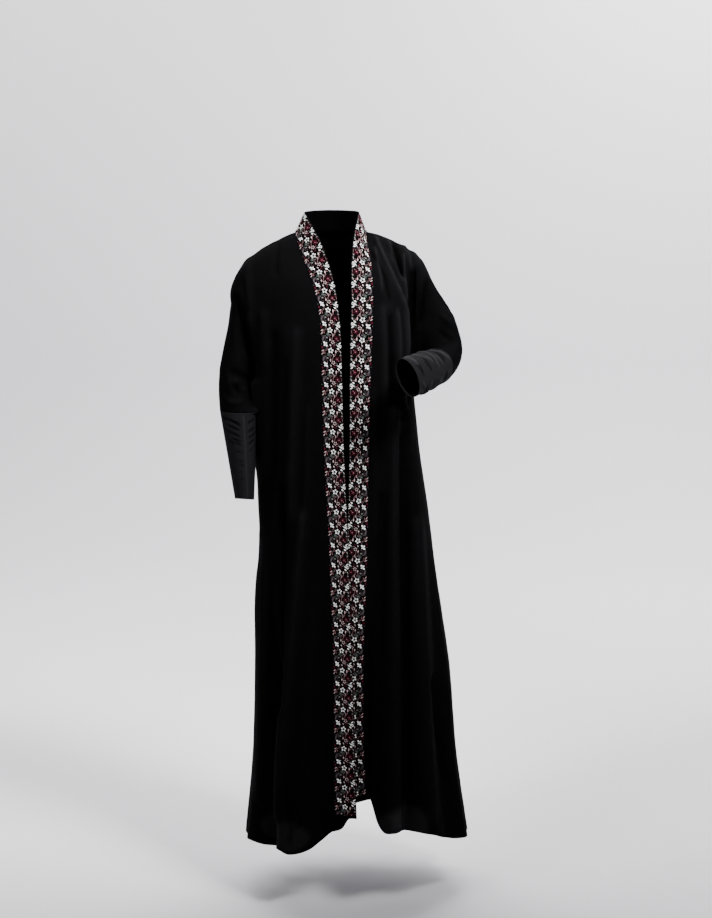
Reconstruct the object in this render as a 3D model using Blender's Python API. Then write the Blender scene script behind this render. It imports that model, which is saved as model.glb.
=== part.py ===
"""Open-front abaya cloak with cut-in-one sleeves, long jersey cuffs and a trim band.

Units are metres and +Z is up. The front of the garment faces -Y and the wearer's left is +X.
The origin is the centre of the neck, where the wearer's shoulders carry the cloak.

The cloth is drawn as sheets of points. A column runs down the cloth, from the shoulder and
over-arm seam to the hem or to the under-sleeve seam, and a row runs across the columns.
Columns 0 to SIDE lie on the body and SIDE to CUFF on the sleeve. Every sheet shares its seam
points with its neighbour, and gets its thickness from one set of normals, so the walls meet
face to face along each seam.
"""
import math

import bmesh
import bpy
import numpy as np

# Cloth
WALL = 0.002            # thickness of the cloth with its turned edges
THIN_WALL = 0.0011      # thickness of the single layer at the underarm points
THIN_REACH = 0.035      # distance from an underarm point over which the wall thickens
TRIM = 0.0018           # thickness of the trim band
SEAM_GAP = 0.0003       # clear space between two pieces at a seam

# Sheet layout
TRIM_CELLS = 3          # cells across the trim band
SIDE = 16               # column of the side seam
CUFF = 24               # column of the cuff seam
NECK_CELLS = 4          # cells from the shoulder seam to the centre back
UPPER_ROWS = 11         # rows from the shoulder seam to the underarm level
LOWER_ROWS = 17         # rows from the underarm level to the hem
CUFF_ROWS = 6           # rows along a cuff

# Heights, measured from the origin
UNDERARM = -0.345       # level of the underarm points
NECK_BACK_TOP = 0.062   # top edge of the band at the nape
NECK_BACK_BASE = 0.015  # lower edge of the band at the nape
NECK_BACK_IN = 0.058    # how far the top edge lies behind the origin
NECK_BACK_OUT = 0.080   # how far the lower edge lies behind the origin

FULLNESS = 2.3          # exponent of the body's rounded section
HEM_TURN = 0.031        # depth of the turned hem
TRIM_END = {"right": -1.302, "left": -1.267}    # lower ends of the two bands
TRIM_HEM = {                                    # hem of the cloth under each band,
    "right": (-1.304, -1.306, -1.330),          # from its free edge outwards
    "left": (-1.286, -1.282, -1.278),
}
LAP_DEPTH = 0.010       # how far the left front passes behind the right one
LAP_TOP = -0.42         # height where the fronts start to lap
LAP_FULL = -0.60        # height where they lap by the full depth
LAP_COLUMNS = 5.0       # columns over which the lap dies away
FREE_EDGE_SINK = 0.35   # share of a flute's depth that reaches the free edge of the trim
TRIM_COLUMNS = 3.0      # columns over which the last row comes down from the trim's end
HEM_SPREAD = 1.3        # how soon the columns reach their places at the hem
FLUTE_GROWTH = 1.2      # how slowly a flute opens on its way down

# Arcs of the upper cloak. A pull is the way in which an arc leaves a seam.
BULGE = 4.0 / 3.0       # pull for each metre that a sleeve swells
SHOULDER_BULGE = 1.15   # extra pull of the arcs that leave the shoulder seam
SHOULDER_DROP = -0.022  # how far those arcs are pulled down
RISE_SHRINK = 6.0       # how far a rise takes away the pull at the under-sleeve seam
UNDERARM_OUT = (0.008, 0.045)   # pull outwards at the underarm level, centre and side
UNDERARM_UP = (0.160, 0.090)    # pull upwards at the underarm level, centre and side
NECK_PULL = (0.0, 0.055, -0.030)    # pull with which the back leaves the standing neck


def table(columns, *rows):
    """Return the rows as a dict that gives each named column as an array."""
    return dict(zip(columns.split(), np.array(rows, dtype=float).T))


# Widest points and depths of the body at each level below the underarm
BODY = table(
    "z      right    left   front   back",
    (-0.345, -0.168, 0.187, 0.142, 0.112),
    (-0.420, -0.169, 0.194, 0.142, 0.116),
    (-0.500, -0.170, 0.203, 0.142, 0.120),
    (-0.600, -0.171, 0.219, 0.143, 0.127),
    (-0.700, -0.168, 0.231, 0.147, 0.134),
    (-0.800, -0.178, 0.244, 0.151, 0.141),
    (-1.000, -0.180, 0.273, 0.159, 0.155),
    (-1.200, -0.184, 0.288, 0.168, 0.171),
    (-1.420, -0.201, 0.318, 0.178, 0.190),
)

# Edges of the trim band below the underarm, seen from the front
TRIM_LINE = table(
    "z      right_out right_in left_in left_out",
    (-0.345, -0.0211, 0.0265, 0.0400, 0.0868),
    (-0.440, -0.0184, 0.0285, 0.0395, 0.0855),
    (-0.540, -0.0142, 0.0325, 0.0380, 0.0832),
    (-0.650, -0.0082, 0.0371, 0.0350, 0.0819),
    (-0.770, -0.0035, 0.0404, 0.0310, 0.0795),
    (-0.880, 0.0015, 0.0440, 0.0270, 0.0745),
    (-1.030, 0.0040, 0.0490, 0.0245, 0.0725),
    (-1.150, 0.0050, 0.0525, 0.0265, 0.0744),
    (-1.250, 0.0062, 0.0553, 0.0300, 0.0785),
    (-1.330, 0.0074, 0.0575, 0.0345, 0.0830),
)

# Trim band from the shoulder seam to the underarm level, as lines across it
TRIM_RIGHT = table(
    "x_in    y_in    z_in    x_out   y_out   z_out",
    (-0.0600, 0.000, 0.057, -0.0820, 0.002, 0.012),
    (-0.0450, -0.036, 0.030, -0.0790, -0.022, -0.002),
    (-0.0285, -0.060, 0.004, -0.0700, -0.046, -0.028),
    (-0.0125, -0.082, -0.034, -0.0580, -0.069, -0.058),
    (0.0045, -0.105, -0.085, -0.0445, -0.098, -0.092),
    (0.0155, -0.122, -0.140, -0.0310, -0.118, -0.143),
    (0.0225, -0.136, -0.210, -0.0235, -0.133, -0.210),
    (0.0250, -0.141, -0.280, -0.0222, -0.138, -0.280),
    (0.0265, -0.142, -0.345, -0.0211, -0.140, -0.345),
)
TRIM_LEFT = table(
    "x_in    y_in    z_in    x_out   y_out   z_out",
    (0.0600, 0.000, 0.057, 0.0780, 0.002, 0.013),
    (0.0550, -0.032, 0.033, 0.0785, -0.019, -0.007),
    (0.0490, -0.056, 0.004, 0.0830, -0.041, -0.029),
    (0.0455, -0.079, -0.034, 0.0885, -0.063, -0.056),
    (0.0435, -0.104, -0.085, 0.0925, -0.094, -0.090),
    (0.0440, -0.121, -0.140, 0.0935, -0.113, -0.142),
    (0.0420, -0.134, -0.210, 0.0925, -0.127, -0.210),
    (0.0408, -0.140, -0.280, 0.0895, -0.131, -0.280),
    (0.0400, -0.142, -0.345, 0.0868, -0.133, -0.345),
)

# Seam lines and swell of the sleeves. A point of the over-arm seam and one of the
# under-sleeve seam are joined by half a section, which swells by front_swell and
# back_swell towards the (turn_y, turn_z) side of the arm and away from it. It comes down
# to the under-sleeve seam from above by rise.
ARM_RIGHT = table(
    "column top_x   top_y   top_z   low_x   low_y   low_z   front_swell back_swell turn_y turn_z rise",
    (0, -0.0820, 0.002, 0.012, -0.168, 0.000, -0.345, 0.056, 0.052, -1.0, 0.0, 0.090),
    (4, -0.1120, 0.004, 0.000, -0.168, 0.000, -0.345, 0.058, 0.054, -1.0, 0.0, 0.090),
    (8, -0.1450, 0.004, -0.017, -0.168, 0.000, -0.345, 0.060, 0.056, -1.0, 0.0, 0.090),
    (12, -0.1780, 0.003, -0.039, -0.168, 0.000, -0.345, 0.064, 0.060, -1.0, 0.0, 0.090),
    (16, -0.2060, 0.000, -0.066, -0.168, 0.000, -0.345, 0.080, 0.078, -1.0, 0.0, 0.080),
    (17, -0.2190, -0.001, -0.089, -0.178, 0.000, -0.344, 0.076, 0.073, -1.0, 0.0, 0.078),
    (18, -0.2290, -0.002, -0.115, -0.184, -0.003, -0.350, 0.072, 0.068, -1.0, 0.0, 0.055),
    (20, -0.2370, -0.007, -0.200, -0.183, -0.012, -0.364, 0.060, 0.056, -1.0, 0.0, 0.020),
    (22, -0.2570, -0.018, -0.305, -0.1765, -0.028, -0.378, 0.050, 0.048, -1.0, 0.0, 0.006),
    (24, -0.2550, -0.030, -0.390, -0.1690, -0.044, -0.391, 0.043, 0.046, -1.0, 0.0, 0.000),
)
ARM_LEFT = table(
    "column top_x   top_y   top_z   low_x   low_y   low_z   front_swell back_swell turn_y turn_z rise",
    (0, 0.0780, 0.002, 0.013, 0.187, 0.000, -0.345, 0.056, 0.052, -1.0, 0.0, 0.090),
    (4, 0.1100, 0.004, 0.005, 0.187, 0.000, -0.345, 0.058, 0.054, -1.0, 0.0, 0.090),
    (8, 0.1430, 0.004, -0.009, 0.187, 0.000, -0.345, 0.060, 0.056, -1.0, 0.0, 0.090),
    (12, 0.1750, 0.002, -0.027, 0.187, 0.000, -0.345, 0.064, 0.060, -1.0, 0.0, 0.090),
    (16, 0.2040, 0.000, -0.054, 0.187, 0.000, -0.345, 0.080, 0.078, -1.0, 0.0, 0.080),
    (17, 0.2190, -0.001, -0.081, 0.197, -0.001, -0.343, 0.072, 0.074, -1.0, 0.06, 0.078),
    (18, 0.2350, -0.002, -0.110, 0.204, -0.003, -0.344, 0.061, 0.070, -1.0, 0.15, 0.055),
    (20, 0.2675, -0.006, -0.170, 0.210, -0.013, -0.336, 0.063, 0.057, -0.75, 0.66, 0.015),
    (22, 0.2955, -0.044, -0.250, 0.206, -0.045, -0.311, 0.046, 0.040, -0.30, 0.95, 0.000),
    (24, 0.2710, -0.100, -0.286, 0.193, -0.071, -0.288, 0.042, 0.040, -0.10, 0.99, 0.000),
)

# Wrist openings: centre, half sizes and the directions of the over-arm side and the front side
WRIST_RIGHT = dict(centre=(-0.1985, -0.068, -0.589), side=(-0.0215, 0.002, 0.001),
                   front=(0.003, -0.036, 0.006))
WRIST_LEFT = dict(centre=(0.1650, -0.268, -0.294), side=(0.0219, -0.0085, 0.000),
                  front=(-0.0120, -0.003, 0.0410))

# Hem of the skirt, a row for each column: angle round the body from the centre front or
# the centre back, how far a flute stands out there, where it dies away, and the hem's height
HEM_COLUMNS = "angle lift top z"
FRONT_RIGHT = table(
    HEM_COLUMNS,
    (7.7, 0.000, -0.60, -1.337),
    (9.5, -0.004, -0.60, -1.341),
    (12.0, -0.007, -0.60, -1.351),
    (15.5, -0.003, -0.60, -1.364),
    (20.0, 0.008, -0.55, -1.379),
    (25.5, 0.019, -0.45, -1.388),
    (31.0, 0.026, -0.38, -1.391),
    (36.0, 0.026, -0.35, -1.385),
    (40.0, 0.016, -0.35, -1.386),
    (43.5, -0.006, -0.38, -1.394),
    (47.5, -0.028, -0.42, -1.400),
    (52.0, -0.030, -0.45, -1.401),
    (58.0, -0.010, -0.50, -1.398),
    (65.0, 0.005, -0.50, -1.394),
    (72.5, 0.009, -0.50, -1.395),
    (81.0, 0.004, -0.50, -1.401),
    (90.0, 0.000, -0.50, -1.410),
)
FRONT_LEFT = table(
    HEM_COLUMNS,
    (4.6, -0.022, -0.80, -1.275),
    (5.9, -0.036, -0.75, -1.271),
    (7.4, -0.028, -0.75, -1.281),
    (9.2, 0.000, -0.60, -1.320),
    (11.6, 0.019, -0.45, -1.336),
    (15.5, 0.022, -0.40, -1.336),
    (18.5, 0.018, -0.36, -1.335),
    (21.2, 0.000, -0.40, -1.339),
    (24.5, -0.012, -0.45, -1.343),
    (29.0, 0.001, -0.50, -1.344),
    (34.5, 0.014, -0.50, -1.348),
    (40.5, 0.015, -0.50, -1.355),
    (47.0, 0.004, -0.55, -1.367),
    (54.5, -0.009, -0.60, -1.378),
    (63.0, -0.003, -0.60, -1.386),
    (75.0, 0.008, -0.60, -1.393),
    (90.0, 0.000, -0.50, -1.401),
)
BACK_RIGHT = table(
    HEM_COLUMNS,
    (0.0, -0.012, -0.50, -1.382),
    (5.0, 0.006, -0.45, -1.382),
    (10.0, 0.024, -0.35, -1.384),
    (14.0, 0.012, -0.40, -1.383),
    (18.0, -0.016, -0.45, -1.382),
    (22.0, -0.024, -0.50, -1.382),
    (26.0, -0.004, -0.45, -1.384),
    (30.0, 0.024, -0.32, -1.387),
    (34.0, 0.030, -0.30, -1.389),
    (38.0, 0.008, -0.40, -1.389),
    (42.0, -0.022, -0.45, -1.389),
    (46.0, -0.026, -0.55, -1.390),
    (50.0, -0.002, -0.50, -1.393),
    (54.5, 0.022, -0.40, -1.397),
    (59.0, 0.026, -0.38, -1.401),
    (63.5, 0.008, -0.45, -1.403),
    (68.0, -0.016, -0.55, -1.405),
    (72.5, -0.018, -0.60, -1.406),
    (77.5, 0.002, -0.55, -1.407),
    (83.5, 0.010, -0.50, -1.409),
    (90.0, 0.000, -0.50, -1.410),
)
BACK_LEFT = table(
    HEM_COLUMNS,
    (0.0, -0.012, -0.50, -1.382),
    (4.0, -0.020, -0.50, -1.382),
    (8.5, 0.000, -0.45, -1.383),
    (13.0, 0.026, -0.33, -1.386),
    (17.5, 0.020, -0.35, -1.387),
    (22.0, -0.008, -0.45, -1.386),
    (26.0, -0.026, -0.50, -1.386),
    (30.0, -0.018, -0.55, -1.387),
    (34.0, 0.010, -0.45, -1.390),
    (38.0, 0.028, -0.30, -1.393),
    (42.5, 0.020, -0.35, -1.394),
    (47.0, -0.010, -0.45, -1.394),
    (51.0, -0.024, -0.50, -1.395),
    (55.0, -0.008, -0.50, -1.398),
    (59.5, 0.018, -0.40, -1.402),
    (64.0, 0.024, -0.40, -1.405),
    (68.5, 0.006, -0.45, -1.405),
    (73.0, -0.014, -0.55, -1.405),
    (78.0, -0.008, -0.60, -1.404),
    (84.0, 0.006, -0.50, -1.403),
    (90.0, 0.000, -0.50, -1.401),
)

# Main folds of the upper cloak, as lines seen from the front or from the back: three
# points, how far the fold stands out (or sinks in, below zero) and its half width
FOLD_COLUMNS = "x1 z1 x2 z2 x3 z3 lift width"
FRONT_FOLDS = table(
    FOLD_COLUMNS,
    (-0.236, -0.125, -0.206, -0.190, -0.184, -0.280, -0.010, 0.018),
    (-0.205, -0.100, -0.178, -0.180, -0.158, -0.300, 0.005, 0.018),
    (-0.090, -0.180, -0.098, -0.330, -0.112, -0.620, 0.007, 0.018),
    (0.086, -0.010, 0.118, -0.090, 0.150, -0.300, 0.007, 0.015),
    (0.118, -0.010, 0.152, -0.090, 0.172, -0.280, 0.007, 0.015),
    (0.222, -0.100, 0.218, -0.150, 0.210, -0.215, -0.009, 0.018),
    (0.250, -0.130, 0.262, -0.170, 0.266, -0.210, 0.006, 0.018),
)
BACK_FOLDS = table(
    FOLD_COLUMNS,
    (-0.225, -0.110, -0.200, -0.190, -0.180, -0.310, -0.011, 0.018),
    (-0.070, -0.040, -0.085, -0.180, -0.095, -0.420, 0.008, 0.018),
    (-0.130, -0.060, -0.125, -0.200, -0.135, -0.420, 0.007, 0.018),
    (0.000, -0.020, 0.005, -0.200, 0.010, -0.420, -0.006, 0.022),
    (0.075, -0.040, 0.085, -0.180, 0.095, -0.420, 0.008, 0.018),
    (0.135, -0.060, 0.135, -0.200, 0.145, -0.420, 0.007, 0.018),
    (0.232, -0.110, 0.218, -0.190, 0.200, -0.300, -0.011, 0.018),
)
FOLDS = {"front": FRONT_FOLDS, "back": BACK_FOLDS}
FOLD_FADE = 0.05        # length over which a fold dies away at each end
NORMAL_STEPS = 40       # steps in finding the middle of the directions round a point
CORNER_SHARE = 0.5      # least share that a corner's two edges have in the way they draw in

BLACK_CREPE = dict(colour=(0.010, 0.010, 0.011), roughness=0.80)
CHARCOAL_JERSEY = dict(colour=(0.045, 0.045, 0.050), roughness=0.90)
FLORAL_TRIM = dict(colour=(0.160, 0.120, 0.130), roughness=0.75)


def mix(start, end, share):
    """Return the value a share of the way from start to end."""
    return start + (end - start) * share


def ease(share):
    """Return a share that starts and ends softly."""
    share = min(max(share, 0.0), 1.0)
    return share * share * (3.0 - 2.0 * share)


def read(rows, key, at, name):
    """Read a column of a table at a value of its key column, on a smooth curve."""
    keys, values = rows[key], rows[name]
    if keys[0] > keys[-1]:
        keys, values = keys[::-1], values[::-1]
    at = min(max(at, keys[0]), keys[-1])
    slopes = np.gradient(values, keys)
    low = min(int(np.searchsorted(keys, at, side="right")) - 1, len(keys) - 2)
    span = keys[low + 1] - keys[low]
    share = (at - keys[low]) / span
    start_pull = span * slopes[low] * share * (1.0 - share) ** 2
    end_pull = -span * slopes[low + 1] * share ** 2 * (1.0 - share)
    return mix(values[low], values[low + 1], ease(share)) + start_pull + end_pull


def numbered(rows):
    """Return a table with a column that numbers its rows, so that it can be read by row."""
    return dict(rows, number=np.arange(len(next(iter(rows.values())))))


class Side:
    """The tables and the sign of one side of the garment."""

    def __init__(self, name, sign, arm, trim, front_hem, back_hem, wrist):
        self.name = name
        self.sign = sign
        self.arm = arm
        self.trim = numbered(trim)
        self.hems = {"front": numbered(front_hem), "back": numbered(back_hem)}
        self.wrist = wrist

    def arm_value(self, name, column):
        """Read the arm's table at a column."""
        return read(self.arm, "column", column, name)

    def seam_top(self, column):
        """Return a point of the shoulder and over-arm seam."""
        return np.array([self.arm_value("top_" + axis, column) for axis in "xyz"])

    def seam_low(self, column):
        """Return a point of the under-sleeve seam."""
        return np.array([self.arm_value("low_" + axis, column) for axis in "xyz"])

    def trim_x(self, edge, z):
        """Return where an edge of the trim lies across the body, below the underarm."""
        return read(TRIM_LINE, "z", z, self.name + "_" + edge)

    def trim_point(self, edge, share):
        """Return a point of an edge of the trim above the underarm, by its share of the way down."""
        row = share * (len(self.trim["x_in"]) - 1)
        return np.array([read(self.trim, "number", row, axis + "_" + edge) for axis in "xyz"])


RIGHT = Side("right", -1, ARM_RIGHT, TRIM_RIGHT, FRONT_RIGHT, BACK_RIGHT, WRIST_RIGHT)
LEFT = Side("left", 1, ARM_LEFT, TRIM_LEFT, FRONT_LEFT, BACK_LEFT, WRIST_LEFT)


def body_section(face, z):
    """Return the centre, half width and depth of the body's section at a level."""
    right, left = (read(BODY, "z", z, name) for name in ("right", "left"))
    centre = (right + left) / 2
    return centre, (left - right) / 2, read(BODY, "z", z, face)


def section_point(side, face, z, angle, lift):
    """Return a point of the body's section, moved out by lift.

    The angle is in degrees from the centre front or the centre back.
    """
    centre, width, depth = body_section(face, z)
    turn = math.radians(angle)
    power = 2.0 / FULLNESS
    x = width * math.sin(turn) ** power
    y = depth * max(math.cos(turn), 0.0) ** power
    out = np.array([x / width ** 2, y / depth ** 2])
    out = out / np.linalg.norm(out)
    outward = -1 if face == "front" else 1
    return np.array([centre + side.sign * (x + lift * out[0]), outward * (y + lift * out[1]), z])


def edge_angle(side, z):
    """Return the angle at which the outer edge of the trim lies."""
    centre, width, _ = body_section("front", z)
    share = side.sign * (side.trim_x("out", z) - centre) / width
    return math.degrees(math.asin(share ** (FULLNESS / 2.0)))


def lap(side, z, columns_away):
    """Return how far the left front is set back behind the right one."""
    if side is RIGHT:
        return 0.0
    depth = LAP_DEPTH * ease((z - LAP_TOP) / (LAP_FULL - LAP_TOP))
    return depth * (1.0 - ease(columns_away / LAP_COLUMNS))


def skirt_point(side, face, column, row):
    """Return a point of the skirt: row is 0 at the underarm level and LOWER_ROWS at the hem."""
    hem = side.hems[face]
    last = len(hem["z"]) - 1
    hem_z = read(hem, "number", column, "z")
    turn_z = hem_z + HEM_TURN
    if face == "front":
        turn_z = mix(TRIM_END[side.name], turn_z, ease(column / TRIM_COLUMNS))
    z = mix(UNDERARM, turn_z, row / (LOWER_ROWS - 1)) if row < LOWER_ROWS else hem_z
    drop = (UNDERARM - z) / (UNDERARM - hem_z)
    start_hem, angle_hem = hem["angle"][0], read(hem, "number", column, "angle")
    share_hem = (angle_hem - start_hem) / (90.0 - start_hem)
    share = mix(column / last, share_hem, ease(drop * HEM_SPREAD))
    start = edge_angle(side, z) if face == "front" else 0.0
    fold_top = read(hem, "number", column, "top")
    growth = min(max((fold_top - z) / (fold_top - hem_z), 0.0), 1.0) ** FLUTE_GROWTH
    lift = read(hem, "number", column, "lift") * growth
    point = section_point(side, face, z, mix(start, 90.0, share), lift)
    if face == "front":
        point[1] += lap(side, z, column)
    return point


def trim_skirt_point(side, place, row):
    """Return a point of the skirt under the trim: place is 0 at the free edge, TRIM_CELLS outside."""
    outer = skirt_point(side, "front", 0, row)
    z = outer[2] if row < LOWER_ROWS else TRIM_HEM[side.name][place]
    centre, width, depth = body_section("front", z)
    inner_x = side.trim_x("in", z)

    def bowed(x):
        share = min(abs(x - centre) / width, 1.0)
        return -depth * (1.0 - share ** FULLNESS) ** (1.0 / FULLNESS) + lap(side, z, 0)

    share = place / TRIM_CELLS
    sunk = outer[1] - bowed(outer[0])
    x = mix(inner_x, outer[0], share)
    return np.array([x, bowed(x) + sunk * mix(FREE_EDGE_SINK, 1.0, share), z])


def fold_lift(face, x, z):
    """Return how far the main folds move a point of the upper cloak outwards."""
    folds = FOLDS[face]
    total = 0.0
    for number in range(len(folds["lift"])):
        line = [(folds["x" + k][number], folds["z" + k][number]) for k in "123"]
        lengths = [math.dist(line[0], line[1]), math.dist(line[1], line[2])]
        nearest, along = 1e9, 0.0
        for part in (0, 1):
            (x0, z0), (x1, z1) = line[part], line[part + 1]
            span = lengths[part] ** 2
            share = min(max(((x - x0) * (x1 - x0) + (z - z0) * (z1 - z0)) / span, 0.0), 1.0)
            away = math.hypot(x - mix(x0, x1, share), z - mix(z0, z1, share))
            if away < nearest:
                nearest = away
                along = share * lengths[part] + (lengths[0] if part else 0.0)
        ends = min(along, sum(lengths) - along) / FOLD_FADE
        total += folds["lift"][number] * ease(ends) * math.exp(-(nearest / folds["width"][number]) ** 2)
    return total


def arc_point(start, start_pull, end, end_pull, share):
    """Return a point of a smooth arc that leaves start and reaches end along the pulls."""
    rest = 1.0 - share
    return (rest ** 3 * start + 3 * rest ** 2 * share * (start + start_pull)
            + 3 * rest * share ** 2 * (end + end_pull) + share ** 3 * end)


def upper_point(side, face, column, share):
    """Return a point between the shoulder or over-arm seam and the underarm level."""
    outward = -1 if face == "front" else 1
    top = side.seam_top(column)
    swell = side.arm_value(face + "_swell", column) * BULGE
    turn = np.array([0.0, side.arm_value("turn_y", column), side.arm_value("turn_z", column)])
    turn = turn * (-outward) / np.linalg.norm(turn)
    if column >= SIDE:
        low = side.seam_low(column)
        rise = side.arm_value("rise", column)
        low_pull = turn * swell * (1.0 - RISE_SHRINK * rise) + np.array([0.0, 0.0, rise])
        top_pull = turn * swell
    else:
        low = skirt_point(side, face, column_at_underarm(side, face, column), 0)
        near_side = (column / SIDE) ** 4
        low_pull = np.array([0.0, outward * mix(*UNDERARM_OUT, near_side),
                             mix(*UNDERARM_UP, near_side)])
        top_pull = np.array([0.0, outward * swell * SHOULDER_BULGE, SHOULDER_DROP])
    return arc_point(top, top_pull, low, low_pull, share)


def column_at_underarm(side, face, column):
    """Return the hem table's row for a body column: the back has more columns than the seam."""
    return column if face == "front" else column + NECK_CELLS


def upper_front_point(side, column, share):
    """Return a point of the upper front, drawn towards the trim's own line near the edge."""
    point = upper_point(side, "front", column, share)
    if column < SIDE:
        pull = side.trim_point("out", share) - upper_point(side, "front", 0, share)
        point = point + pull * (1.0 - column / SIDE) ** 2
    return point


def neck_point(side, turn, height):
    """Return a point of the standing neck: turn is 0 at the shoulder seam and 1 at the nape."""
    angle = turn * math.pi / 2
    top_side, base_side = side.trim_point("in", 0.0), side.trim_point("out", 0.0)
    top_back = np.array([0.0, NECK_BACK_IN, NECK_BACK_TOP])
    base_back = np.array([0.0, NECK_BACK_OUT, NECK_BACK_BASE])
    ends = []
    for at_side, at_back in ((top_side, top_back), (base_side, base_back)):
        ends.append(np.array([at_side[0] * math.cos(angle),
                              mix(at_side[1], at_back[1], math.sin(angle)),
                              mix(at_side[2], at_back[2], math.sin(angle))]))
    return mix(ends[0], ends[1], height)


def upper_back_point(side, column, share):
    """Return a point of the upper back. Columns below 0 lie under the standing neck."""
    if column >= 0:
        return upper_point(side, "back", column, share)
    top = neck_point(side, -column / NECK_CELLS, 1.0)
    low = skirt_point(side, "back", column + NECK_CELLS, 0)
    low_pull = np.array([0.0, UNDERARM_OUT[0], UNDERARM_UP[0]])
    return arc_point(top, np.array(NECK_PULL), low, low_pull, share)


def front_sheet(side):
    """Return the points of a front by (row, column); columns below 0 lie under the trim."""
    points = {}
    for row in range(UPPER_ROWS + 1):
        share = row / UPPER_ROWS
        inner, outer = side.trim_point("in", share), side.trim_point("out", share)
        for column in range(-TRIM_CELLS, 0):
            points[row, column] = mix(inner, outer, 1.0 + column / TRIM_CELLS)
        for column in range(CUFF + 1):
            points[row, column] = upper_front_point(side, column, share)
    for row in range(1, LOWER_ROWS + 1):
        for place in range(TRIM_CELLS):
            points[UPPER_ROWS + row, place - TRIM_CELLS] = trim_skirt_point(side, place, row)
        for column in range(SIDE + 1):
            points[UPPER_ROWS + row, column] = skirt_point(side, "front", column, row)
    return points


def back_sheet():
    """Return the points of the back by (row, column), from the right cuff to the left one."""
    points = {}
    middle = CUFF + NECK_CELLS
    for side in (RIGHT, LEFT):
        for column in range(-NECK_CELLS, CUFF + 1):
            place = middle + side.sign * (column + NECK_CELLS)
            for row in range(UPPER_ROWS + 1):
                points[row, place] = upper_back_point(side, column, row / UPPER_ROWS)
            if column <= 0:
                for row in range(TRIM_CELLS):
                    height = row / TRIM_CELLS
                    points[row - TRIM_CELLS, place] = neck_point(side, -column / NECK_CELLS, height)
            if column <= SIDE:
                for row in range(1, LOWER_ROWS + 1):
                    points[UPPER_ROWS + row, place] = skirt_point(
                        side, "back", column + NECK_CELLS, row)
    return points


def cuff_sheet(side, front, back):
    """Return the points of a cuff by (row, place round it), from the sleeve's end to the wrist."""
    middle = CUFF + NECK_CELLS
    place = middle + side.sign * middle
    ring = [front[row, CUFF] for row in range(UPPER_ROWS)]
    ring += [back[row, place] for row in range(UPPER_ROWS, 0, -1)]
    centre, across, ahead = (np.array(side.wrist[key]) for key in ("centre", "side", "front"))
    points = {}
    for number, start in enumerate(ring):
        turn = 2 * math.pi * number / len(ring)
        end = centre + across * math.cos(turn) + ahead * math.sin(turn)
        for row in range(CUFF_ROWS + 1):
            points[row, number] = mix(start, end, row / CUFF_ROWS)
    return points


class Sheet:
    """A sheet of cloth: its points, its cells and whether its columns close into a ring."""

    def __init__(self, points, flip=False, ring=0):
        self.points = points
        self.flip = flip
        self.ring = ring

    def corners(self, row, column):
        """Return the four corners of a cell, in order round it."""
        after = (column + 1) % self.ring if self.ring else column + 1
        keys = [(row, column), (row, after), (row + 1, after), (row + 1, column)]
        return keys[::-1] if self.flip else keys

    def cells(self):
        """Return the corners of each cell that has all four points."""
        found = []
        for row, column in self.points:
            corners = self.corners(row, column)
            if all(key in self.points for key in corners):
                found.append(corners)
        return found

    def triangles(self):
        """Return the two triangles of each cell, cut along its shorter diagonal."""
        halves = []
        for a, b, c, d in self.cells():
            pa, pb, pc, pd = (self.points[key] for key in (a, b, c, d))
            if np.linalg.norm(pc - pa) < np.linalg.norm(pd - pb):
                halves += [(a, b, c), (a, c, d)]
            else:
                halves += [(b, c, d), (b, d, a)]
        return halves

    def border(self):
        """Return the edges that bound the sheet, each as its start and end in order round it."""
        edges = {}
        for corners in self.cells():
            for start, end in zip(corners, corners[1:] + corners[:1]):
                if (end, start) in edges:
                    del edges[end, start]
                else:
                    edges[start, end] = True
        return list(edges)


def place_key(point):
    """Return a key that is the same for two points at the same place."""
    return tuple(np.round(point, 6) + 0.0)


def middle_direction(directions):
    """Return the direction that leans least from the one of the directions farthest from it."""
    middle = np.mean(directions, axis=0)
    for step in range(2, NORMAL_STEPS):
        farthest = directions[int(np.argmin(directions @ middle))]
        middle = middle + (farthest - middle) / step
    return middle / np.linalg.norm(middle)


def shared_normals(sheets):
    """Return the cloth's outward direction at each place, the same for sheets that meet there."""
    around = {}
    for sheet in sheets:
        for a, b, c in sheet.triangles():
            pa, pb, pc = (sheet.points[key] for key in (a, b, c))
            normal = np.cross(pb - pa, pc - pa)
            for point in (pa, pb, pc):
                around.setdefault(place_key(point), []).append(normal / np.linalg.norm(normal))
    return {key: middle_direction(np.array(normals)) for key, normals in around.items()}


def add_folds(sheets):
    """Move the points of the fronts and the back out by the main folds.

    A point that two pieces share moves by the mean of their folds, so their seam stays closed.
    """
    normals = shared_normals(sheets.values())
    lifts = {}
    for name, sheet in sheets.items():
        face = name.split("_")[0]
        if face in FOLDS:
            for point in sheet.points.values():
                lifts.setdefault(place_key(point), []).append(fold_lift(face, point[0], point[2]))
    for sheet in sheets.values():
        for key, point in sheet.points.items():
            place = place_key(point)
            if place in lifts:
                sheet.points[key] = point + normals[place] * np.mean(lifts[place])


def pulled_in(sheet, normals, distance):
    """Return the sheet's points with its border drawn in by a distance."""
    pulls = {}
    for start, end in sheet.border():
        along = sheet.points[end] - sheet.points[start]
        for key in (start, end):
            inward = np.cross(normals[place_key(sheet.points[key])], along)
            pulls.setdefault(key, []).append(inward / np.linalg.norm(inward))
    points = dict(sheet.points)
    for key, inwards in pulls.items():
        total = sum(inwards)
        total = total / np.linalg.norm(total)
        points[key] = points[key] + total * distance / max(total @ inwards[0], CORNER_SHARE)
    return points


def half_wall(point):
    """Return half the thickness of the cloth at a point: it thins towards the underarm points."""
    away = min(np.linalg.norm(point - side.seam_low(SIDE)) for side in (RIGHT, LEFT))
    return mix(THIN_WALL, WALL, ease(away / THIN_REACH)) / 2


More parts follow.
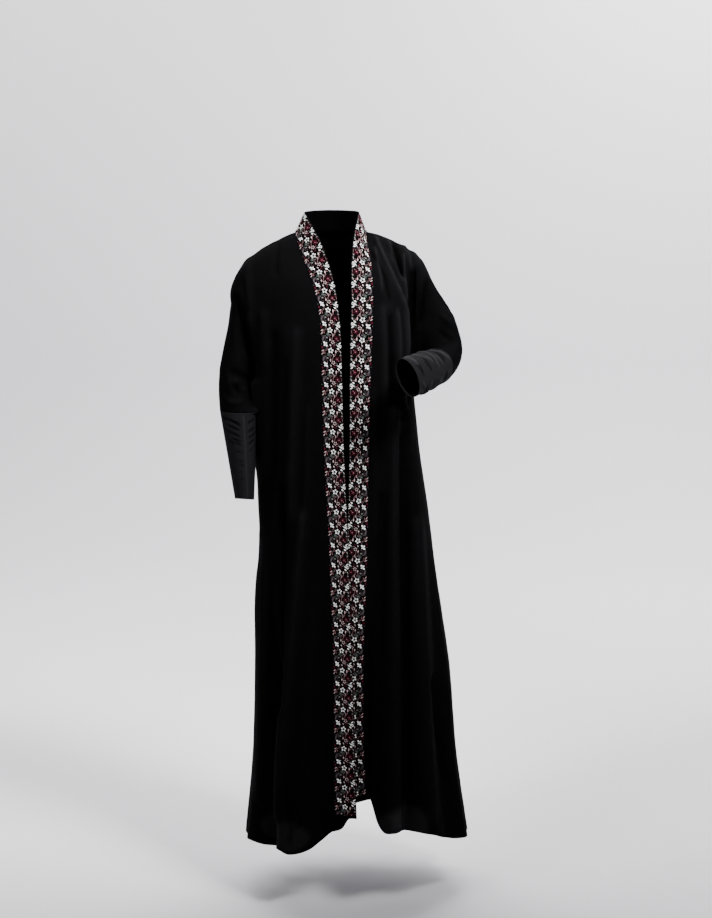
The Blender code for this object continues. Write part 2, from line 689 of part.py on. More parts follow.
def add_cloth(name, sheet, normals, material, collection, trim=False):
    """Add the closed wall of a sheet. A trim lies on the outside of the cloth's own points."""
    points = pulled_in(sheet, normals, SEAM_GAP / 2)
    shell = bmesh.new()
    inner, outer = {}, {}
    for key, point in points.items():
        normal = normals[place_key(sheet.points[key])]
        half = half_wall(point)
        low, high = (half + SEAM_GAP, half + SEAM_GAP + TRIM) if trim else (-half, half)
        inner[key] = shell.verts.new(point + normal * low)
        outer[key] = shell.verts.new(point + normal * high)
    for a, b, c in sheet.triangles():
        shell.faces.new((outer[a], outer[b], outer[c]))
        shell.faces.new((inner[c], inner[b], inner[a]))
    for start, end in sheet.border():
        if place_key(sheet.points[start]) < place_key(sheet.points[end]):
            shell.faces.new((outer[end], outer[start], inner[end]))
            shell.faces.new((outer[start], inner[start], inner[end]))
        else:
            shell.faces.new((outer[end], outer[start], inner[start]))
            shell.faces.new((outer[end], inner[start], inner[end]))
    mesh = bpy.data.meshes.new(name)
    shell.to_mesh(mesh)
    shell.free()
    mesh.shade_smooth()
    mesh.materials.append(material)
    piece = bpy.data.objects.new(name, mesh)
    collection.objects.link(piece)
    return piece


def trim_sheet(side, front, back):
    """Return a trim band's points by (row, place across it), from above the hem to the nape."""
    middle = CUFF + NECK_CELLS
    points = {}
    for across in range(TRIM_CELLS + 1):
        for row in range(UPPER_ROWS + LOWER_ROWS):
            points[-row, across] = front[row, across - TRIM_CELLS]
        for step in range(1, NECK_CELLS + 1):
            place = middle + side.sign * (NECK_CELLS - step)
            points[step, across] = back[across - TRIM_CELLS, place]
    return points


def make_material(name, colour, roughness):
    """Return a plain cloth material."""
    material = bpy.data.materials.new(name)
    material.use_nodes = True
    shader = material.node_tree.nodes["Principled BSDF"]
    shader.inputs["Base Color"].default_value = (*colour, 1.0)
    shader.inputs["Roughness"].default_value = roughness
    shader.inputs["Metallic"].default_value = 0.0
    return material


def clear_scene():
    """Remove every object, so that the script can be run again."""
    for item in list(bpy.data.objects):
        bpy.data.objects.remove(item, do_unlink=True)


def build():
    """Build the whole garment."""
    clear_scene()
    collection = bpy.data.collections.new("abaya")
    bpy.context.scene.collection.children.link(collection)
    crepe = make_material("black_crepe", **BLACK_CREPE)
    jersey = make_material("charcoal_jersey", **CHARCOAL_JERSEY)
    floral = make_material("floral_trim", **FLORAL_TRIM)

    fronts = {side.name: front_sheet(side) for side in (RIGHT, LEFT)}
    back = back_sheet()
    cloth = {"back": Sheet(back)}
    for side in (RIGHT, LEFT):
        front, mirrored = fronts[side.name], side is LEFT
        cloth["front_" + side.name] = Sheet(front, flip=mirrored)
        cloth["cuff_" + side.name] = Sheet(cuff_sheet(side, front, back), flip=not mirrored,
                                           ring=2 * UPPER_ROWS)
    add_folds(cloth)
    trims = {}
    for side in (RIGHT, LEFT):
        trims["band_" + side.name] = Sheet(trim_sheet(side, fronts[side.name], back),
                                           flip=side is RIGHT)

    normals = shared_normals(cloth.values())
    for name, sheet in cloth.items():
        material = jersey if name.startswith("cuff") else crepe
        add_cloth(name, sheet, normals, material, collection)
    for name, sheet in trims.items():
        add_cloth(name, sheet, normals, floral, collection, trim=True)


build()
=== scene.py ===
"""Dressed model of the open-front abaya cloak: crepe body, jersey cuffs and embroidered bands.

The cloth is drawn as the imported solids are, as sheets of points in rows and columns, but on a
finer grid, as thin shells with their creases. The embroidery of the bands is laid on them from
a small chart. Units are metres, +Z is up and the front faces -Y.
"""
import math

import bpy
import numpy as np
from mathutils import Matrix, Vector, noise


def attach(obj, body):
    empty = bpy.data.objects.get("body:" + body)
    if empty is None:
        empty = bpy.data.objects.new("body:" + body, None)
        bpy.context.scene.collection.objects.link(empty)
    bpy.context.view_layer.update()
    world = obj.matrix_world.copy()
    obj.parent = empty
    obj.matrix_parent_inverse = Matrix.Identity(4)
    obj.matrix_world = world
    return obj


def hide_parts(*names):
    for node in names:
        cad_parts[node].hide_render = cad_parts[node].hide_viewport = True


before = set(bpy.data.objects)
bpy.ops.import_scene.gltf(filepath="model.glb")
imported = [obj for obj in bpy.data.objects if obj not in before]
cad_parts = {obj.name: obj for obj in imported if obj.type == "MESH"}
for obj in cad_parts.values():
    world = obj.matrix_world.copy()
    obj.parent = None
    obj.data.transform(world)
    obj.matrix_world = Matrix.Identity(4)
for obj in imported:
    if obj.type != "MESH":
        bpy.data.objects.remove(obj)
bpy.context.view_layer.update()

# ---------------------------------------------------------------------------------------
# Shape of the cloak, as sheets of points in rows and columns

# Sheet layout
TRIM_CELLS = 3          # cells across the trim band
SIDE = 16               # column of the side seam
CUFF = 24               # column of the cuff seam
NECK_CELLS = 4          # cells from the shoulder seam to the centre back
UPPER_ROWS = 11         # rows from the shoulder seam to the underarm level
LOWER_ROWS = 17         # rows from the underarm level to the hem
CUFF_ROWS = 6           # rows along a cuff

# Heights, measured from the origin
UNDERARM = -0.345       # level of the underarm points
NECK_BACK_TOP = 0.062   # top edge of the band at the nape
NECK_BACK_BASE = 0.015  # lower edge of the band at the nape
NECK_BACK_IN = 0.058    # how far the top edge lies behind the origin
NECK_BACK_OUT = 0.080   # how far the lower edge lies behind the origin

FULLNESS = 2.3          # exponent of the body's rounded section
HEM_TURN = 0.031        # depth of the turned hem
TRIM_END = {"right": -1.302, "left": -1.267}    # lower ends of the two bands
TRIM_HEM = {                                    # hem of the cloth under each band,
    "right": (-1.304, -1.306, -1.330),          # from its free edge outwards
    "left": (-1.286, -1.282, -1.278),
}
LAP_DEPTH = 0.010       # how far the left front passes behind the right one
LAP_TOP = -0.42         # height where the fronts start to lap
LAP_FULL = -0.60        # height where they lap by the full depth
LAP_COLUMNS = 5.0       # columns over which the lap dies away
FREE_EDGE_SINK = 0.35   # share of a flute's depth that reaches the free edge of the trim
TRIM_COLUMNS = 3.0      # columns over which the last row comes down from the trim's end
HEM_SPREAD = 1.3        # how soon the columns reach their places at the hem
FLUTE_GROWTH = 1.2      # how slowly a flute opens on its way down

# Arcs of the upper cloak. A pull is the way in which an arc leaves a seam.
BULGE = 4.0 / 3.0       # pull for each metre that a sleeve swells
SHOULDER_BULGE = 1.15   # extra pull of the arcs that leave the shoulder seam
SHOULDER_DROP = -0.022  # how far those arcs are pulled down
RISE_SHRINK = 6.0       # how far a rise takes away the pull at the under-sleeve seam
UNDERARM_OUT = (0.008, 0.045)   # pull outwards at the underarm level, centre and side
UNDERARM_UP = (0.160, 0.090)    # pull upwards at the underarm level, centre and side
NECK_PULL = (0.0, 0.055, -0.030)    # pull with which the back leaves the standing neck


def table(columns, *rows):
    """Return the rows as a dict that gives each named column as an array."""
    return dict(zip(columns.split(), np.array(rows, dtype=float).T))


def rows_of(chart):
    """Return a table's rows, each as a tuple of its values."""
    return list(zip(*chart.values()))


# Widest points and depths of the body at each level below the underarm
BODY = table(
    "z      right    left   front   back",
    (-0.345, -0.168, 0.187, 0.142, 0.112),
    (-0.420, -0.169, 0.194, 0.142, 0.116),
    (-0.500, -0.170, 0.203, 0.142, 0.120),
    (-0.600, -0.171, 0.219, 0.143, 0.127),
    (-0.700, -0.168, 0.231, 0.147, 0.134),
    (-0.800, -0.178, 0.244, 0.151, 0.141),
    (-1.000, -0.180, 0.273, 0.159, 0.155),
    (-1.200, -0.184, 0.288, 0.168, 0.171),
    (-1.420, -0.201, 0.318, 0.178, 0.190),
)

# Edges of the trim band below the underarm, seen from the front
TRIM_LINE = table(
    "z      right_out right_in left_in left_out",
    (-0.345, -0.0211, 0.0265, 0.0400, 0.0868),
    (-0.440, -0.0184, 0.0285, 0.0395, 0.0855),
    (-0.540, -0.0142, 0.0325, 0.0380, 0.0832),
    (-0.650, -0.0082, 0.0371, 0.0350, 0.0819),
    (-0.770, -0.0035, 0.0404, 0.0310, 0.0795),
    (-0.880, 0.0015, 0.0440, 0.0270, 0.0745),
    (-1.030, 0.0040, 0.0490, 0.0245, 0.0725),
    (-1.150, 0.0050, 0.0525, 0.0265, 0.0744),
    (-1.250, 0.0062, 0.0553, 0.0300, 0.0785),
    (-1.330, 0.0074, 0.0575, 0.0345, 0.0830),
)

# Trim band from the shoulder seam to the underarm level, as lines across it
TRIM_RIGHT = table(
    "x_in    y_in    z_in    x_out   y_out   z_out",
    (-0.0600, 0.000, 0.057, -0.0820, 0.002, 0.012),
    (-0.0450, -0.036, 0.030, -0.0790, -0.022, -0.002),
    (-0.0285, -0.060, 0.004, -0.0700, -0.046, -0.028),
    (-0.0125, -0.082, -0.034, -0.0580, -0.069, -0.058),
    (0.0045, -0.105, -0.085, -0.0445, -0.098, -0.092),
    (0.0155, -0.122, -0.140, -0.0310, -0.118, -0.143),
    (0.0225, -0.136, -0.210, -0.0235, -0.133, -0.210),
    (0.0250, -0.141, -0.280, -0.0222, -0.138, -0.280),
    (0.0265, -0.142, -0.345, -0.0211, -0.140, -0.345),
)
TRIM_LEFT = table(
    "x_in    y_in    z_in    x_out   y_out   z_out",
    (0.0600, 0.000, 0.057, 0.0780, 0.002, 0.013),
    (0.0550, -0.032, 0.033, 0.0785, -0.019, -0.007),
    (0.0490, -0.056, 0.004, 0.0830, -0.041, -0.029),
    (0.0455, -0.079, -0.034, 0.0885, -0.063, -0.056),
    (0.0435, -0.104, -0.085, 0.0925, -0.094, -0.090),
    (0.0440, -0.121, -0.140, 0.0935, -0.113, -0.142),
    (0.0420, -0.134, -0.210, 0.0925, -0.127, -0.210),
    (0.0408, -0.140, -0.280, 0.0895, -0.131, -0.280),
    (0.0400, -0.142, -0.345, 0.0868, -0.133, -0.345),
)

# Seam lines and swell of the sleeves. A point of the over-arm seam and one of the
# under-sleeve seam are joined by half a section, which swells by front_swell and
# back_swell towards the (turn_y, turn_z) side of the arm and away from it. It comes down
# to the under-sleeve seam from above by rise.
ARM_RIGHT = table(
    "column top_x   top_y   top_z   low_x   low_y   low_z   front_swell back_swell turn_y turn_z rise",
    (0, -0.0820, 0.002, 0.012, -0.168, 0.000, -0.345, 0.056, 0.052, -1.0, 0.0, 0.090),
    (4, -0.1120, 0.004, 0.000, -0.168, 0.000, -0.345, 0.058, 0.054, -1.0, 0.0, 0.090),
    (8, -0.1450, 0.004, -0.017, -0.168, 0.000, -0.345, 0.060, 0.056, -1.0, 0.0, 0.090),
    (12, -0.1780, 0.003, -0.039, -0.168, 0.000, -0.345, 0.064, 0.060, -1.0, 0.0, 0.090),
    (16, -0.2060, 0.000, -0.066, -0.168, 0.000, -0.345, 0.080, 0.078, -1.0, 0.0, 0.080),
    (17, -0.2190, -0.001, -0.089, -0.178, 0.000, -0.344, 0.076, 0.073, -1.0, 0.0, 0.078),
    (18, -0.2290, -0.002, -0.115, -0.184, -0.003, -0.350, 0.072, 0.068, -1.0, 0.0, 0.055),
    (20, -0.2370, -0.007, -0.200, -0.183, -0.012, -0.364, 0.060, 0.056, -1.0, 0.0, 0.020),
    (22, -0.2570, -0.018, -0.305, -0.1765, -0.028, -0.378, 0.050, 0.048, -1.0, 0.0, 0.006),
    (24, -0.2550, -0.030, -0.390, -0.1690, -0.044, -0.391, 0.043, 0.046, -1.0, 0.0, 0.000),
)
ARM_LEFT = table(
    "column top_x   top_y   top_z   low_x   low_y   low_z   front_swell back_swell turn_y turn_z rise",
    (0, 0.0780, 0.002, 0.013, 0.187, 0.000, -0.345, 0.056, 0.052, -1.0, 0.0, 0.090),
    (4, 0.1100, 0.004, 0.005, 0.187, 0.000, -0.345, 0.058, 0.054, -1.0, 0.0, 0.090),
    (8, 0.1430, 0.004, -0.009, 0.187, 0.000, -0.345, 0.060, 0.056, -1.0, 0.0, 0.090),
    (12, 0.1750, 0.002, -0.027, 0.187, 0.000, -0.345, 0.064, 0.060, -1.0, 0.0, 0.090),
    (16, 0.2040, 0.000, -0.054, 0.187, 0.000, -0.345, 0.080, 0.078, -1.0, 0.0, 0.080),
    (17, 0.2190, -0.001, -0.081, 0.197, -0.001, -0.343, 0.072, 0.074, -1.0, 0.06, 0.078),
    (18, 0.2350, -0.002, -0.110, 0.204, -0.003, -0.344, 0.061, 0.070, -1.0, 0.15, 0.055),
    (20, 0.2675, -0.006, -0.170, 0.210, -0.013, -0.336, 0.063, 0.057, -0.75, 0.66, 0.015),
    (22, 0.2955, -0.044, -0.250, 0.206, -0.045, -0.311, 0.046, 0.040, -0.30, 0.95, 0.000),
    (24, 0.2710, -0.100, -0.286, 0.193, -0.071, -0.288, 0.042, 0.040, -0.10, 0.99, 0.000),
)

# Wrist openings: centre, half sizes and the directions of the over-arm side and the front side
WRIST_RIGHT = dict(centre=(-0.1985, -0.068, -0.589), side=(-0.0215, 0.002, 0.001),
                   front=(0.003, -0.036, 0.006))
WRIST_LEFT = dict(centre=(0.1650, -0.268, -0.294), side=(0.0219, -0.0085, 0.000),
                  front=(-0.0120, -0.003, 0.0410))

# Hem of the skirt, a row for each column: angle round the body from the centre front or
# the centre back, how far a flute stands out there, where it dies away, and the hem's height
HEM_COLUMNS = "angle lift top z"
FRONT_RIGHT = table(
    HEM_COLUMNS,
    (7.7, 0.000, -0.60, -1.337),
    (9.5, -0.004, -0.60, -1.341),
    (12.0, -0.007, -0.60, -1.351),
    (15.5, -0.003, -0.60, -1.364),
    (20.0, 0.008, -0.55, -1.379),
    (25.5, 0.019, -0.45, -1.388),
    (31.0, 0.026, -0.38, -1.391),
    (36.0, 0.026, -0.35, -1.385),
    (40.0, 0.016, -0.35, -1.386),
    (43.5, -0.006, -0.38, -1.394),
    (47.5, -0.028, -0.42, -1.400),
    (52.0, -0.030, -0.45, -1.401),
    (58.0, -0.010, -0.50, -1.398),
    (65.0, 0.005, -0.50, -1.394),
    (72.5, 0.009, -0.50, -1.395),
    (81.0, 0.004, -0.50, -1.401),
    (90.0, 0.000, -0.50, -1.410),
)
FRONT_LEFT = table(
    HEM_COLUMNS,
    (4.6, -0.022, -0.80, -1.275),
    (5.9, -0.036, -0.75, -1.271),
    (7.4, -0.028, -0.75, -1.281),
    (9.2, 0.000, -0.60, -1.320),
    (11.6, 0.019, -0.45, -1.336),
    (15.5, 0.022, -0.40, -1.336),
    (18.5, 0.018, -0.36, -1.335),
    (21.2, 0.000, -0.40, -1.339),
    (24.5, -0.012, -0.45, -1.343),
    (29.0, 0.001, -0.50, -1.344),
    (34.5, 0.014, -0.50, -1.348),
    (40.5, 0.015, -0.50, -1.355),
    (47.0, 0.004, -0.55, -1.367),
    (54.5, -0.009, -0.60, -1.378),
    (63.0, -0.003, -0.60, -1.386),
    (75.0, 0.008, -0.60, -1.393),
    (90.0, 0.000, -0.50, -1.401),
)
BACK_RIGHT = table(
    HEM_COLUMNS,
    (0.0, -0.012, -0.50, -1.382),
    (5.0, 0.006, -0.45, -1.382),
    (10.0, 0.024, -0.35, -1.384),
    (14.0, 0.012, -0.40, -1.383),
    (18.0, -0.016, -0.45, -1.382),
    (22.0, -0.024, -0.50, -1.382),
    (26.0, -0.004, -0.45, -1.384),
    (30.0, 0.024, -0.32, -1.387),
    (34.0, 0.030, -0.30, -1.389),
    (38.0, 0.008, -0.40, -1.389),
    (42.0, -0.022, -0.45, -1.389),
    (46.0, -0.026, -0.55, -1.390),
    (50.0, -0.002, -0.50, -1.393),
    (54.5, 0.022, -0.40, -1.397),
    (59.0, 0.026, -0.38, -1.401),
    (63.5, 0.008, -0.45, -1.403),
    (68.0, -0.016, -0.55, -1.405),
    (72.5, -0.018, -0.60, -1.406),
    (77.5, 0.002, -0.55, -1.407),
    (83.5, 0.010, -0.50, -1.409),
    (90.0, 0.000, -0.50, -1.410),
)
BACK_LEFT = table(
    HEM_COLUMNS,
    (0.0, -0.012, -0.50, -1.382),
    (4.0, -0.020, -0.50, -1.382),
    (8.5, 0.000, -0.45, -1.383),
    (13.0, 0.026, -0.33, -1.386),
    (17.5, 0.020, -0.35, -1.387),
    (22.0, -0.008, -0.45, -1.386),
    (26.0, -0.026, -0.50, -1.386),
    (30.0, -0.018, -0.55, -1.387),
    (34.0, 0.010, -0.45, -1.390),
    (38.0, 0.028, -0.30, -1.393),
    (42.5, 0.020, -0.35, -1.394),
    (47.0, -0.010, -0.45, -1.394),
    (51.0, -0.024, -0.50, -1.395),
    (55.0, -0.008, -0.50, -1.398),
    (59.5, 0.018, -0.40, -1.402),
    (64.0, 0.024, -0.40, -1.405),
    (68.5, 0.006, -0.45, -1.405),
    (73.0, -0.014, -0.55, -1.405),
    (78.0, -0.008, -0.60, -1.404),
    (84.0, 0.006, -0.50, -1.403),
    (90.0, 0.000, -0.50, -1.401),
)

# Main folds of the upper cloak, as lines seen from the front or from the back: three
# points, how far the fold stands out (or sinks in, below zero) and its half width
FOLD_COLUMNS = "x1 z1 x2 z2 x3 z3 lift width"
FRONT_FOLDS = table(
    FOLD_COLUMNS,
    (-0.236, -0.125, -0.206, -0.190, -0.184, -0.280, -0.010, 0.018),
    (-0.205, -0.100, -0.178, -0.180, -0.158, -0.300, 0.005, 0.018),
    (-0.090, -0.180, -0.098, -0.330, -0.112, -0.620, 0.007, 0.018),
    (0.086, -0.010, 0.118, -0.090, 0.150, -0.300, 0.007, 0.015),
    (0.118, -0.010, 0.152, -0.090, 0.172, -0.280, 0.007, 0.015),
    (0.222, -0.100, 0.218, -0.150, 0.210, -0.215, -0.009, 0.018),
    (0.250, -0.130, 0.262, -0.170, 0.266, -0.210, 0.006, 0.018),
)
BACK_FOLDS = table(
    FOLD_COLUMNS,
    (-0.225, -0.110, -0.200, -0.190, -0.180, -0.310, -0.011, 0.018),
    (-0.070, -0.040, -0.085, -0.180, -0.095, -0.420, 0.008, 0.018),
    (-0.130, -0.060, -0.125, -0.200, -0.135, -0.420, 0.007, 0.018),
    (0.000, -0.020, 0.005, -0.200, 0.010, -0.420, -0.006, 0.022),
    (0.075, -0.040, 0.085, -0.180, 0.095, -0.420, 0.008, 0.018),
    (0.135, -0.060, 0.135, -0.200, 0.145, -0.420, 0.007, 0.018),
    (0.232, -0.110, 0.218, -0.190, 0.200, -0.300, -0.011, 0.018),
)
FOLDS = {"front": FRONT_FOLDS, "back": BACK_FOLDS}
FOLD_FADE = 0.05        # length over which a fold dies away at each end


def mix(start, end, share):
    """Return the value a share of the way from start to end."""
    return start + (end - start) * share


def ease(share):
    """Return a share that starts and ends softly."""
    share = min(max(share, 0.0), 1.0)
    return share * share * (3.0 - 2.0 * share)


def read(rows, key, at, name):
    """Read a column of a table at a value of its key column, on a smooth curve."""
    keys, values = rows[key], rows[name]
    if keys[0] > keys[-1]:
        keys, values = keys[::-1], values[::-1]
    at = min(max(at, keys[0]), keys[-1])
    slopes = np.gradient(values, keys)
    low = min(int(np.searchsorted(keys, at, side="right")) - 1, len(keys) - 2)
    span = keys[low + 1] - keys[low]
    share = (at - keys[low]) / span
    start_pull = span * slopes[low] * share * (1.0 - share) ** 2
    end_pull = -span * slopes[low + 1] * share ** 2 * (1.0 - share)
    return mix(values[low], values[low + 1], ease(share)) + start_pull + end_pull


def numbered(rows):
    """Return a table with a column that numbers its rows, so that it can be read by row."""
    return dict(rows, number=np.arange(len(next(iter(rows.values())))))


class Side:
    """The tables and the sign of one side of the garment."""

    def __init__(self, name, sign, arm, trim, front_hem, back_hem, wrist):
        self.name = name
        self.sign = sign
        self.arm = arm
        self.trim = numbered(trim)
        self.hems = {"front": numbered(front_hem), "back": numbered(back_hem)}
        self.wrist = wrist

    def arm_value(self, name, column):
        """Read the arm's table at a column."""
        return read(self.arm, "column", column, name)

    def seam_top(self, column):
        """Return a point of the shoulder and over-arm seam."""
        return np.array([self.arm_value("top_" + axis, column) for axis in "xyz"])

    def seam_low(self, column):
        """Return a point of the under-sleeve seam."""
        return np.array([self.arm_value("low_" + axis, column) for axis in "xyz"])

    def trim_x(self, edge, z):
        """Return where an edge of the trim lies across the body, below the underarm."""
        return read(TRIM_LINE, "z", z, self.name + "_" + edge)

    def trim_point(self, edge, share):
        """Return a point of an edge of the trim above the underarm, by its share of the way down."""
        row = share * (len(self.trim["x_in"]) - 1)
        return np.array([read(self.trim, "number", row, axis + "_" + edge) for axis in "xyz"])


RIGHT = Side("right", -1, ARM_RIGHT, TRIM_RIGHT, FRONT_RIGHT, BACK_RIGHT, WRIST_RIGHT)
LEFT = Side("left", 1, ARM_LEFT, TRIM_LEFT, FRONT_LEFT, BACK_LEFT, WRIST_LEFT)
SIDES = (RIGHT, LEFT)


def body_section(face, z):
    """Return the centre, half width and depth of the body's section at a level."""
    right, left = (read(BODY, "z", z, name) for name in ("right", "left"))
    centre = (right + left) / 2
    return centre, (left - right) / 2, read(BODY, "z", z, face)


def section_point(side, face, z, angle, lift):
    """Return a point of the body's section, moved out by lift.

    The angle is in degrees from the centre front or the centre back.
    """
    centre, width, depth = body_section(face, z)
    turn = math.radians(angle)
    power = 2.0 / FULLNESS
    x = width * math.sin(turn) ** power
    y = depth * max(math.cos(turn), 0.0) ** power
    out = np.array([x / width ** 2, y / depth ** 2])
    out = out / np.linalg.norm(out)
    outward = -1 if face == "front" else 1
    return np.array([centre + side.sign * (x + lift * out[0]), outward * (y + lift * out[1]), z])


def edge_angle(side, z):
    """Return the angle at which the outer edge of the trim lies."""
    centre, width, _ = body_section("front", z)
    share = side.sign * (side.trim_x("out", z) - centre) / width
    return math.degrees(math.asin(share ** (FULLNESS / 2.0)))


def lap(side, z, columns_away):
    """Return how far the left front is set back behind the right one."""
    if side is RIGHT:
        return 0.0
    depth = LAP_DEPTH * ease((z - LAP_TOP) / (LAP_FULL - LAP_TOP))
    return depth * (1.0 - ease(columns_away / LAP_COLUMNS))


def skirt_point(side, face, column, row):
    """Return a point of the skirt: row is 0 at the underarm level and LOWER_ROWS at the hem."""
    hem = side.hems[face]
    last = len(hem["z"]) - 1
    hem_z = read(hem, "number", column, "z")
    turn_z = hem_z + HEM_TURN
    if face == "front":
        turn_z = mix(TRIM_END[side.name], turn_z, ease(column / TRIM_COLUMNS))
    z = mix(UNDERARM, turn_z, row / (LOWER_ROWS - 1)) if row < LOWER_ROWS else hem_z
    drop = (UNDERARM - z) / (UNDERARM - hem_z)
    start_hem, angle_hem = hem["angle"][0], read(hem, "number", column, "angle")
    share_hem = (angle_hem - start_hem) / (90.0 - start_hem)
    share = mix(column / last, share_hem, ease(drop * HEM_SPREAD))
    start = edge_angle(side, z) if face == "front" else 0.0
    fold_top = read(hem, "number", column, "top")
    growth = min(max((fold_top - z) / (fold_top - hem_z), 0.0), 1.0) ** FLUTE_GROWTH
    lift = read(hem, "number", column, "lift") * growth
    point = section_point(side, face, z, mix(start, 90.0, share), lift)
    if face == "front":
        point[1] += lap(side, z, column)
    return point


def trim_skirt_point(side, place, row):
    """Return a point of the skirt under the trim: place is 0 at the free edge, TRIM_CELLS outside."""
    outer = skirt_point(side, "front", 0, row)
    z = outer[2] if row < LOWER_ROWS else TRIM_HEM[side.name][place]
    centre, width, depth = body_section("front", z)
    inner_x = side.trim_x("in", z)

    def bowed(x):
        share = min(abs(x - centre) / width, 1.0)
        return -depth * (1.0 - share ** FULLNESS) ** (1.0 / FULLNESS) + lap(side, z, 0)

    share = place / TRIM_CELLS
    sunk = outer[1] - bowed(outer[0])
    x = mix(inner_x, outer[0], share)
    return np.array([x, bowed(x) + sunk * mix(FREE_EDGE_SINK, 1.0, share), z])


def arc_point(start, start_pull, end, end_pull, share):
    """Return a point of a smooth arc that leaves start and reaches end along the pulls."""
    rest = 1.0 - share
    return (rest ** 3 * start + 3 * rest ** 2 * share * (start + start_pull)
            + 3 * rest * share ** 2 * (end + end_pull) + share ** 3 * end)


def upper_point(side, face, column, share):
    """Return a point between the shoulder or over-arm seam and the underarm level."""
    outward = -1 if face == "front" else 1
    top = side.seam_top(column)
    swell = side.arm_value(face + "_swell", column) * BULGE
    turn = np.array([0.0, side.arm_value("turn_y", column), side.arm_value("turn_z", column)])
    turn = turn * (-outward) / np.linalg.norm(turn)
    if column >= SIDE:
        low = side.seam_low(column)
        rise = side.arm_value("rise", column)
        low_pull = turn * swell * (1.0 - RISE_SHRINK * rise) + np.array([0.0, 0.0, rise])
        top_pull = turn * swell
    else:
        low = skirt_point(side, face, column_at_underarm(face, column), 0)
        near_side = (column / SIDE) ** 4
        low_pull = np.array([0.0, outward * mix(*UNDERARM_OUT, near_side),
                             mix(*UNDERARM_UP, near_side)])
        top_pull = np.array([0.0, outward * swell * SHOULDER_BULGE, SHOULDER_DROP])
    return arc_point(top, top_pull, low, low_pull, share)


def column_at_underarm(face, column):
    """Return the hem table's row for a body column: the back has more columns than the seam."""
    return column if face == "front" else column + NECK_CELLS


def upper_front_point(side, column, share):
    """Return a point of the upper front, drawn towards the trim's own line near the edge."""
    point = upper_point(side, "front", column, share)
    if column < SIDE:
        pull = side.trim_point("out", share) - upper_point(side, "front", 0, share)
        point = point + pull * (1.0 - column / SIDE) ** 2
    return point


def neck_point(side, turn, height):
    """Return a point of the standing neck: turn is 0 at the shoulder seam and 1 at the nape."""
    angle = turn * math.pi / 2
    top_side, base_side = side.trim_point("in", 0.0), side.trim_point("out", 0.0)
    top_back = np.array([0.0, NECK_BACK_IN, NECK_BACK_TOP])
    base_back = np.array([0.0, NECK_BACK_OUT, NECK_BACK_BASE])
    ends = []
    for at_side, at_back in ((top_side, top_back), (base_side, base_back)):
        ends.append(np.array([at_side[0] * math.cos(angle),
                              mix(at_side[1], at_back[1], math.sin(angle)),
                              mix(at_side[2], at_back[2], math.sin(angle))]))
    return mix(ends[0], ends[1], height)


def upper_back_point(side, column, share):
    """Return a point of the upper back. Columns below 0 lie under the standing neck."""
    if column >= 0:
        return upper_point(side, "back", column, share)
    top = neck_point(side, -column / NECK_CELLS, 1.0)
    low = skirt_point(side, "back", column + NECK_CELLS, 0)
    low_pull = np.array([0.0, UNDERARM_OUT[0], UNDERARM_UP[0]])
    return arc_point(top, np.array(NECK_PULL), low, low_pull, share)


def front_sheet(side):
    """Return the points of a front by (row, column); columns below 0 lie under the trim."""
    points = {}
    for row in range(UPPER_ROWS + 1):
        share = row / UPPER_ROWS
        inner, outer = side.trim_point("in", share), side.trim_point("out", share)
        for column in range(-TRIM_CELLS, 0):
            points[row, column] = mix(inner, outer, 1.0 + column / TRIM_CELLS)
        for column in range(CUFF + 1):
            points[row, column] = upper_front_point(side, column, share)
    for row in range(1, LOWER_ROWS + 1):
        for place in range(TRIM_CELLS):
            points[UPPER_ROWS + row, place - TRIM_CELLS] = trim_skirt_point(side, place, row)
        for column in range(SIDE + 1):
            points[UPPER_ROWS + row, column] = skirt_point(side, "front", column, row)
    return points


def back_sheet():
    """Return the points of the back by (row, column), from the right cuff to the left one."""
    points = {}
    middle = CUFF + NECK_CELLS
    for side in SIDES:
        for column in range(-NECK_CELLS, CUFF + 1):
            place = middle + side.sign * (column + NECK_CELLS)
            for row in range(UPPER_ROWS + 1):
                points[row, place] = upper_back_point(side, column, row / UPPER_ROWS)
            if column <= 0:
                for row in range(TRIM_CELLS):
                    height = row / TRIM_CELLS
                    points[row - TRIM_CELLS, place] = neck_point(side, -column / NECK_CELLS, height)
            if column <= SIDE:
                for row in range(1, LOWER_ROWS + 1):
                    points[UPPER_ROWS + row, place] = skirt_point(
                        side, "back", column + NECK_CELLS, row)
    return points


# ---------------------------------------------------------------------------------------
# Fine cloth

STEPS = 5               # fine rows and columns for each one of the cut
CUFF_STEPS = 14         # fine rows for each row of a cuff
CLOTH = 0.0012          # thickness of the cloth
HEM_CLOTH = 0.0020      # thickness of the turned hem
BAND_CLOTH = 0.0010     # thickness of the band's ground
BAND_SPACE = 0.0001     # space between a band and the cloth it lies on
SEAM_PULL = 0.00005     # half the space between two pieces at a seam

